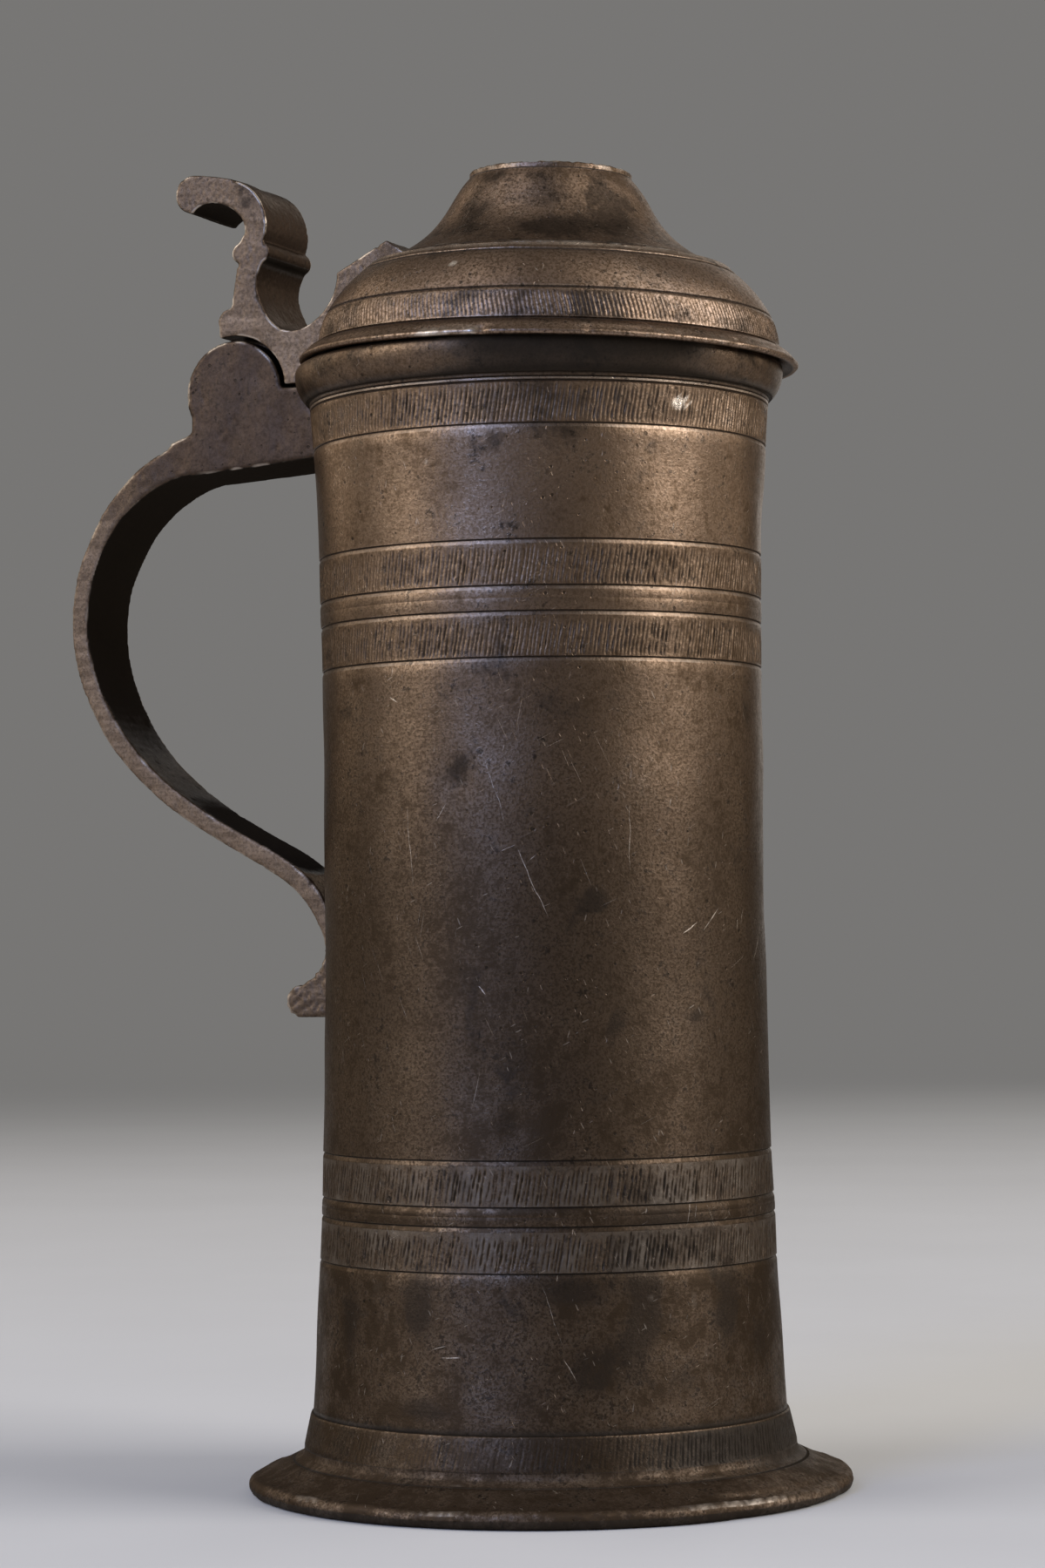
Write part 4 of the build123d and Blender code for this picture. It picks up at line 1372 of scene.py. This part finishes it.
class Pewter(Nodes):
    """Old pewter: mottled patina, dark stains and pits, bright wear and fine scratches, with painted shade
    and highlights carried in its grime, stain and wear values.
    """

    def __init__(self, name, tones, shine, sheen, pepper, relief, scratches, filed=None, marks=None):
        super().__init__(name)
        self.shine = shine
        self.bare = self.carried("filed") if filed else None
        self.flat = flank_place(self) if filed else round_place(self)
        self.clouds = self.noise(self.place, 22, 4, 0.55, 0.3)
        self.mottle = self.noise(self.place, 130, 9, 0.72, 0.2)
        self.speckle = self.noise(self.place, 600, 5, 0.68)
        self.fine = self.noise(self.place, 1700, 3, 0.65)
        height = self.split(self.place)[2]
        # How low a point is: the colour is darkened towards the bottom
        self.low = (height + self.clouds * 0.05).ramp(0.25, 0.14)
        self.bottom = (height + self.clouds * 0.03).ramp(0.12, 0.06, 0.15, 1.2)
        self.wear_and_highlight = (self.carried("wear_and_highlight") - self.mottle * 0.4).ramp(0.0, 0.6)
        self.grime_and_shade = (self.carried("grime_and_shade") + self.speckle * 0.3).ramp(0.2, 1.15)
        base = self.patina(tones, self.fine.ramp(0.44, 0.62, 0.0, pepper), filed)
        base = self.scratched(self.dirtied(base), scratches)
        if marks:
            base = self.marked(base, *marks)
        # Wear and painted highlights lighten the colour towards the shine
        self.set("Base Color", self.mix(self.wear_and_highlight * 0.8, base, shine))
        self.polish(*sheen)
        self.emboss(*relief)

    def patina(self, tones, peppered, filed):
        """The metal's mottled colour, darker towards the bottom, with filed flanks where there are any."""
        dark, middle, pale = tones
        tone = self.clouds * 0.35 + self.mottle * 0.25
        tone = tone + self.speckle * 0.4 - self.low * 0.04
        self.tone = tone + self.bottom * (self.mottle - 0.5)
        base = self.mix(self.tone.ramp(0.36, 0.5), dark, middle)
        base = self.mix(self.tone.ramp(0.49, 0.64), base, pale)
        if filed:
            smears = self.noise(self.stretched(self.flat, (0.016, 0.0016, 1.0)), 1.0, 3)
            grey = self.mix((smears + self.mottle * 0.5).ramp(0.5, 1.0), *filed)
            return self.mix(peppered, self.mix(self.bare, base, grey), soot_and_shade)
        base = self.mix(peppered * self.low.ramp(0.0, 1.0, 1.1, 1.7), base, dark)
        return self.mix(self.low * 0.62, base, soot_and_shade)

    def dirtied(self, base):
        """The colour under flecks, pits, stains and grime, and under the painted shade that the stain and
        grime values carry.
        """
        gathered = self.mottle + self.bottom * 0.05
        flecks = self.speckle.ramp(0.54, 0.63) * gathered.ramp(0.5, 0.6)
        pits = add_pits(self, 170, 0.72, 0.13).most(add_pits(self, 420, 0.8, 0.2))
        self.pits = pits.most(add_pits(self, 600, 0.5, 0.3) * 0.75)
        if self.bare:
            flecks = flecks * self.bare.ramp(0.0, 1.0, 1.0, 0.3)
            self.pits = self.pits * self.bare.ramp(0.0, 1.0, 1.0, 0.4)
        base = self.mix(flecks * 0.8, base, stain_and_shade_brown)
        base = self.mix(self.pits * 0.8, base, soot_and_shade)
        smudges = self.noise(self.place, 75, 4, 0.6, 0.6).ramp(0.54, 0.72, 0.0, 0.6)
        stain_edge = self.carried("stain_and_shade") + smudges + (self.mottle - 0.5) * 2.4
        self.stain_and_shade = stain_edge.ramp(0.2, 1.0)
        base = self.mix(self.stain_and_shade * 0.8, base, stain_and_shade_brown)
        # Grime and painted shade darken the colour towards soot
        return self.mix(self.grime_and_shade * 0.95, base, soot_and_shade)

    def scratched(self, base, strength):
        """The colour with fine scratches, which grime covers."""
        self.long_lines = add_scratches(self, 0.016, 0.00022, 0.84)
        self.short_lines = add_scratches(self, 0.0035, 0.0006, 0.80)
        if self.bare:
            self.long_lines = self.long_lines * self.bare
            self.short_lines = self.short_lines * self.bare
        scratch = self.long_lines.most(self.short_lines * 0.5) * self.grime_and_shade.ramp(0.0, 0.3, 1.0, 0.0)
        return self.mix(scratch * strength, base, self.shine)

    def marked(self, base, bright_marks_and_highlights, dark_marks):
        """The colour with dark scores, and bright scratches and streaks of painted highlight, at known
        places.
        """
        broken = self.speckle.ramp(0.36, 0.6, 0.1, 0.8)
        base = self.mix(add_marks(self, dark_marks) * broken, base, soot_and_shade)
        return self.mix(add_marks(self, bright_marks_and_highlights) * broken, base, self.shine)

    def polish(self, smooth, rough):
        """Sets how the surface reflects: dull under dirt and painted shade, brighter where it is worn."""
        gloss = self.tone.ramp(0.36, 0.64, rough, smooth)
        gloss = gloss + (self.bare * 0.12 if self.bare else self.low.ramp(0.0, 1.0, -0.05, -0.01))
        gloss = gloss + (self.stain_and_shade + self.grime_and_shade) * 0.08 - self.wear_and_highlight * 0.1
        self.set("Roughness", gloss + self.fine.ramp(0.3, 0.7, -0.05, 0.06))
        self.set("Metallic", self.grime_and_shade.ramp(0.3, 1.0, 1.0, 0.0))
        self.set("Specular IOR Level", self.grime_and_shade.ramp(0.3, 1.0, 0.3, 0.0))
        self.set("Specular Tint", colour(0.55, 0.53, 0.51))

    def emboss(self, grain, lumps, turning):
        """Sets the fine relief: grain, turned rings, lumps, pits and scratches."""
        rings = self.noise(self.stretched(self.place, (0.03, 0.03, 0.0006)), 1.0, 2, 0.6)
        relief = (self.fine + self.speckle * 0.8) * grain + rings * turning + self.mottle * lumps
        relief = relief - self.pits * 1.6 - self.long_lines.most(self.short_lines) * 1.0
        self.set("Normal", self.bump(relief, 0.00012, 0.6))


def make_iron(name):
    """Dark drawn iron, hidden in the hinge."""
    made = Nodes(name)
    drawn = made.noise(made.stretched(made.place, (0.001, 0.03, 0.001)), 1.0, 3)
    rust = made.noise(made.place, 220, 5, 0.65)
    base = made.mix(drawn.ramp(0.35, 0.65), colour(0.10, 0.095, 0.09), colour(0.2, 0.19, 0.18))
    made.set("Base Color", made.mix(rust.ramp(0.55, 0.7), base, colour(0.09, 0.04, 0.02)))
    made.set("Roughness", rust.ramp(0.45, 0.7, 0.35, 0.8))
    made.set("Metallic", 1.0)
    made.set("Normal", made.bump(drawn, 0.00005, 0.6))
    return made.material


# Pieces

# Sheen is the smoothest and the roughest finish, relief the strength of grain, lumps and turned rings
vessel_pewter = Pewter(
    "vessel_pewter",
    tones=(colour(0.094, 0.059, 0.034), colour(0.222, 0.149, 0.098), colour(0.322, 0.229, 0.162)),
    shine=colour(0.84, 0.72, 0.60),
    sheen=(0.32, 0.46),
    pepper=0.55,
    relief=(0.9, 0.8, 0.15),
    scratches=0.3,
    marks=(barrel_scratches_and_highlights, barrel_scores),
).material
foot_pewter = Pewter(
    "foot_pewter",
    tones=(colour(0.126, 0.081, 0.049), colour(0.280, 0.194, 0.133), colour(0.406, 0.297, 0.215)),
    shine=colour(0.84, 0.72, 0.60),
    sheen=(0.48, 0.62),
    pepper=0.5,
    relief=(0.9, 0.8, 0.15),
    scratches=0.3,
).material
lid_pewter = Pewter(
    "lid_pewter",
    tones=(colour(0.109, 0.071, 0.043), colour(0.250, 0.171, 0.119), colour(0.362, 0.263, 0.198)),
    shine=colour(0.90, 0.79, 0.66),
    sheen=(0.36, 0.52),
    pepper=0.85,
    relief=(0.9, 0.8, 0.35),
    scratches=0.4,
).material
cast_pewter = Pewter(
    "cast_pewter",
    tones=(colour(0.048, 0.031, 0.021), colour(0.062, 0.0415, 0.0295), colour(0.078, 0.053, 0.038)),
    shine=colour(0.52, 0.43, 0.34),
    sheen=(0.36, 0.5),
    pepper=0.3,
    relief=(0.4, 0.3, 0.0),
    scratches=0.4,
    filed=(colour(0.150, 0.1045, 0.070), colour(0.248, 0.178, 0.124)),
).material
inside_pewter = Pewter(
    "inside_pewter",
    tones=(colour(0.070, 0.052, 0.038), colour(0.150, 0.114, 0.088), colour(0.220, 0.176, 0.140)),
    shine=colour(0.60, 0.52, 0.44),
    sheen=(0.5, 0.68),
    pepper=0.3,
    relief=(0.7, 0.8, 0.5),
    scratches=0.2,
).material

vessel_materials = [vessel_pewter, inside_pewter]
lid_materials = [lid_pewter, inside_pewter]
outside_rings = barrel_rings()
make_foot([foot_pewter, inside_pewter])
make_bottom(vessel_materials)
make_drum("barrel_lower", outside_rings, foot_height, lower_seam, vessel_materials)
make_drum("barrel_middle", outside_rings, lower_seam, upper_seam, vessel_materials)
make_drum("barrel_upper", outside_rings, upper_seam, barrel_top, vessel_materials)
make_collar(vessel_materials)
make_dome(lid_materials)
make_crown(lid_materials)
make_top_disc(lid_materials)
handle_nodes = ["handle_strap", "hinge_block", "pin_plugs", "handle_terminal"]
lever_nodes = ["lid_bracket", "thumbpiece"]
make_cast(handle_nodes, "flagon", handle_voxel, handle_shading, sink_into_vessel, [cast_pewter])
make_cast(lever_nodes, "lid", lid_voxel, lid_cast_shading, sink_into_lid, [cast_pewter])

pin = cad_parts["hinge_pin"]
pin.data.materials.clear()
pin.data.materials.append(make_iron("iron_pin"))

# Stage: a pale floor, soft lights and a pale surround, in metres

surround = colour(0.185, 0.181, 0.176)
floor_tones = (colour(0.54, 0.53, 0.52), colour(0.60, 0.59, 0.58))
floor_roughness = 0.85
floor_size = 40.0
floor_fade_start = 0.7
floor_fade_end = 2.6


def make_floor():
    """A flat floor, which fades into the surround far from the flagon."""
    half = floor_size / 2
    corners = [(-half, -half, 0), (half, -half, 0), (half, half, 0), (-half, half, 0)]
    mesh = bpy.data.meshes.new("floor")
    mesh.from_pydata(corners, [], [(0, 1, 2, 3)])
    floor = bpy.data.objects.new("floor", mesh)
    bpy.context.scene.collection.objects.link(floor)
    made = Nodes("floor")
    made.set("Base Color", made.mix(made.noise(made.place, 7, 5), *floor_tones))
    made.set("Roughness", floor_roughness)
    near = Value(made, made.shader.outputs["BSDF"])
    far = made.value("Emission", "Emission", {"Color": surround})
    fade = made.length(made.place).ramp(floor_fade_start, floor_fade_end)
    blend = made.value("MixShader", "Shader", {"Fac": fade, 1: near, 2: far})
    made.feed(made.tree.nodes["Material Output"].inputs["Surface"], blend)
    mesh.materials.append(made.material)


make_floor()
world = bpy.data.worlds.new("surround")
world.use_nodes = True
world.node_tree.nodes["Background"].inputs["Color"].default_value = surround
bpy.context.scene.world = world

# The camera's bearing, counted from +X about the flagon's axis, in degrees
camera_bearing = -66.9

# What the lights aim at
light_target = Vector((0, 0, 0.2))


def softbox(name, turn, distance, level, width, tall, power, tint):
    """A soft light, turned this far to the right of the camera as seen from the flagon."""
    lamp = bpy.data.lights.new(name, "AREA")
    lamp.shape = "RECTANGLE"
    lamp.size = width
    lamp.size_y = tall
    lamp.energy = power
    lamp.color = tint
    holder = bpy.data.objects.new(name, lamp)
    bearing = math.radians(camera_bearing + turn)
    holder.location = (distance * math.cos(bearing), distance * math.sin(bearing), level)
    aim = light_target - holder.location
    holder.rotation_mode = "QUATERNION"
    holder.rotation_quaternion = aim.to_track_quat("-Z", "Y")
    holder.visible_camera = False
    bpy.context.scene.collection.objects.link(holder)


softbox("warm_right", 70, 2.0, 1.2, 1.35, 1.6, 37.0, (1.0, 0.985, 0.985))
softbox("warm_left", -73, 2.0, 1.15, 1.3, 1.6, 22.0, (1.0, 0.985, 0.97))
softbox("cool_front", -34, 2.0, 1.2, 0.7, 1.6, 20.0, (0.34, 0.50, 1.0))
softbox("back_left", -128, 2.0, 1.0, 1.2, 1.6, 7.5, (1.0, 0.94, 0.86))
softbox("fill_right", 112, 2.0, 1.0, 1.0, 1.6, 5.5, (1.0, 0.94, 0.86))
softbox("rim_right", 160, 2.0, 0.9, 0.5, 1.6, 3.5, (1.0, 0.97, 0.93))
softbox("top_right", 67, 0.9, 2.1, 0.8, 0.8, 3.5, (1.0, 0.96, 0.90))
softbox("top_left", -72, 0.9, 2.1, 0.8, 0.8, 2.5, (1.0, 0.96, 0.92))

# Camera at the photograph's viewing angle

camera_position = (0.3488, -0.8177, 0.1227)
camera_heading = 23.4
camera_pitch = 2.073
camera_roll = -0.64
camera_lens = 92.2
camera_data = bpy.data.cameras.new("camera")
camera_data.lens = camera_lens
camera_data.sensor_width = 36.0
camera_data.clip_start = 0.01
camera = bpy.data.objects.new("camera", camera_data)
bpy.context.scene.collection.objects.link(camera)
heading = Matrix.Rotation(math.radians(camera_heading), 4, "Z")
pitch = Matrix.Rotation(math.radians(90 + camera_pitch), 4, "X")
roll = Matrix.Rotation(math.radians(camera_roll), 4, "Z")
camera.matrix_world = Matrix.Translation(camera_position) @ heading @ pitch @ roll
bpy.context.scene.camera = camera
bpy.context.scene.view_settings.view_transform = "Standard"
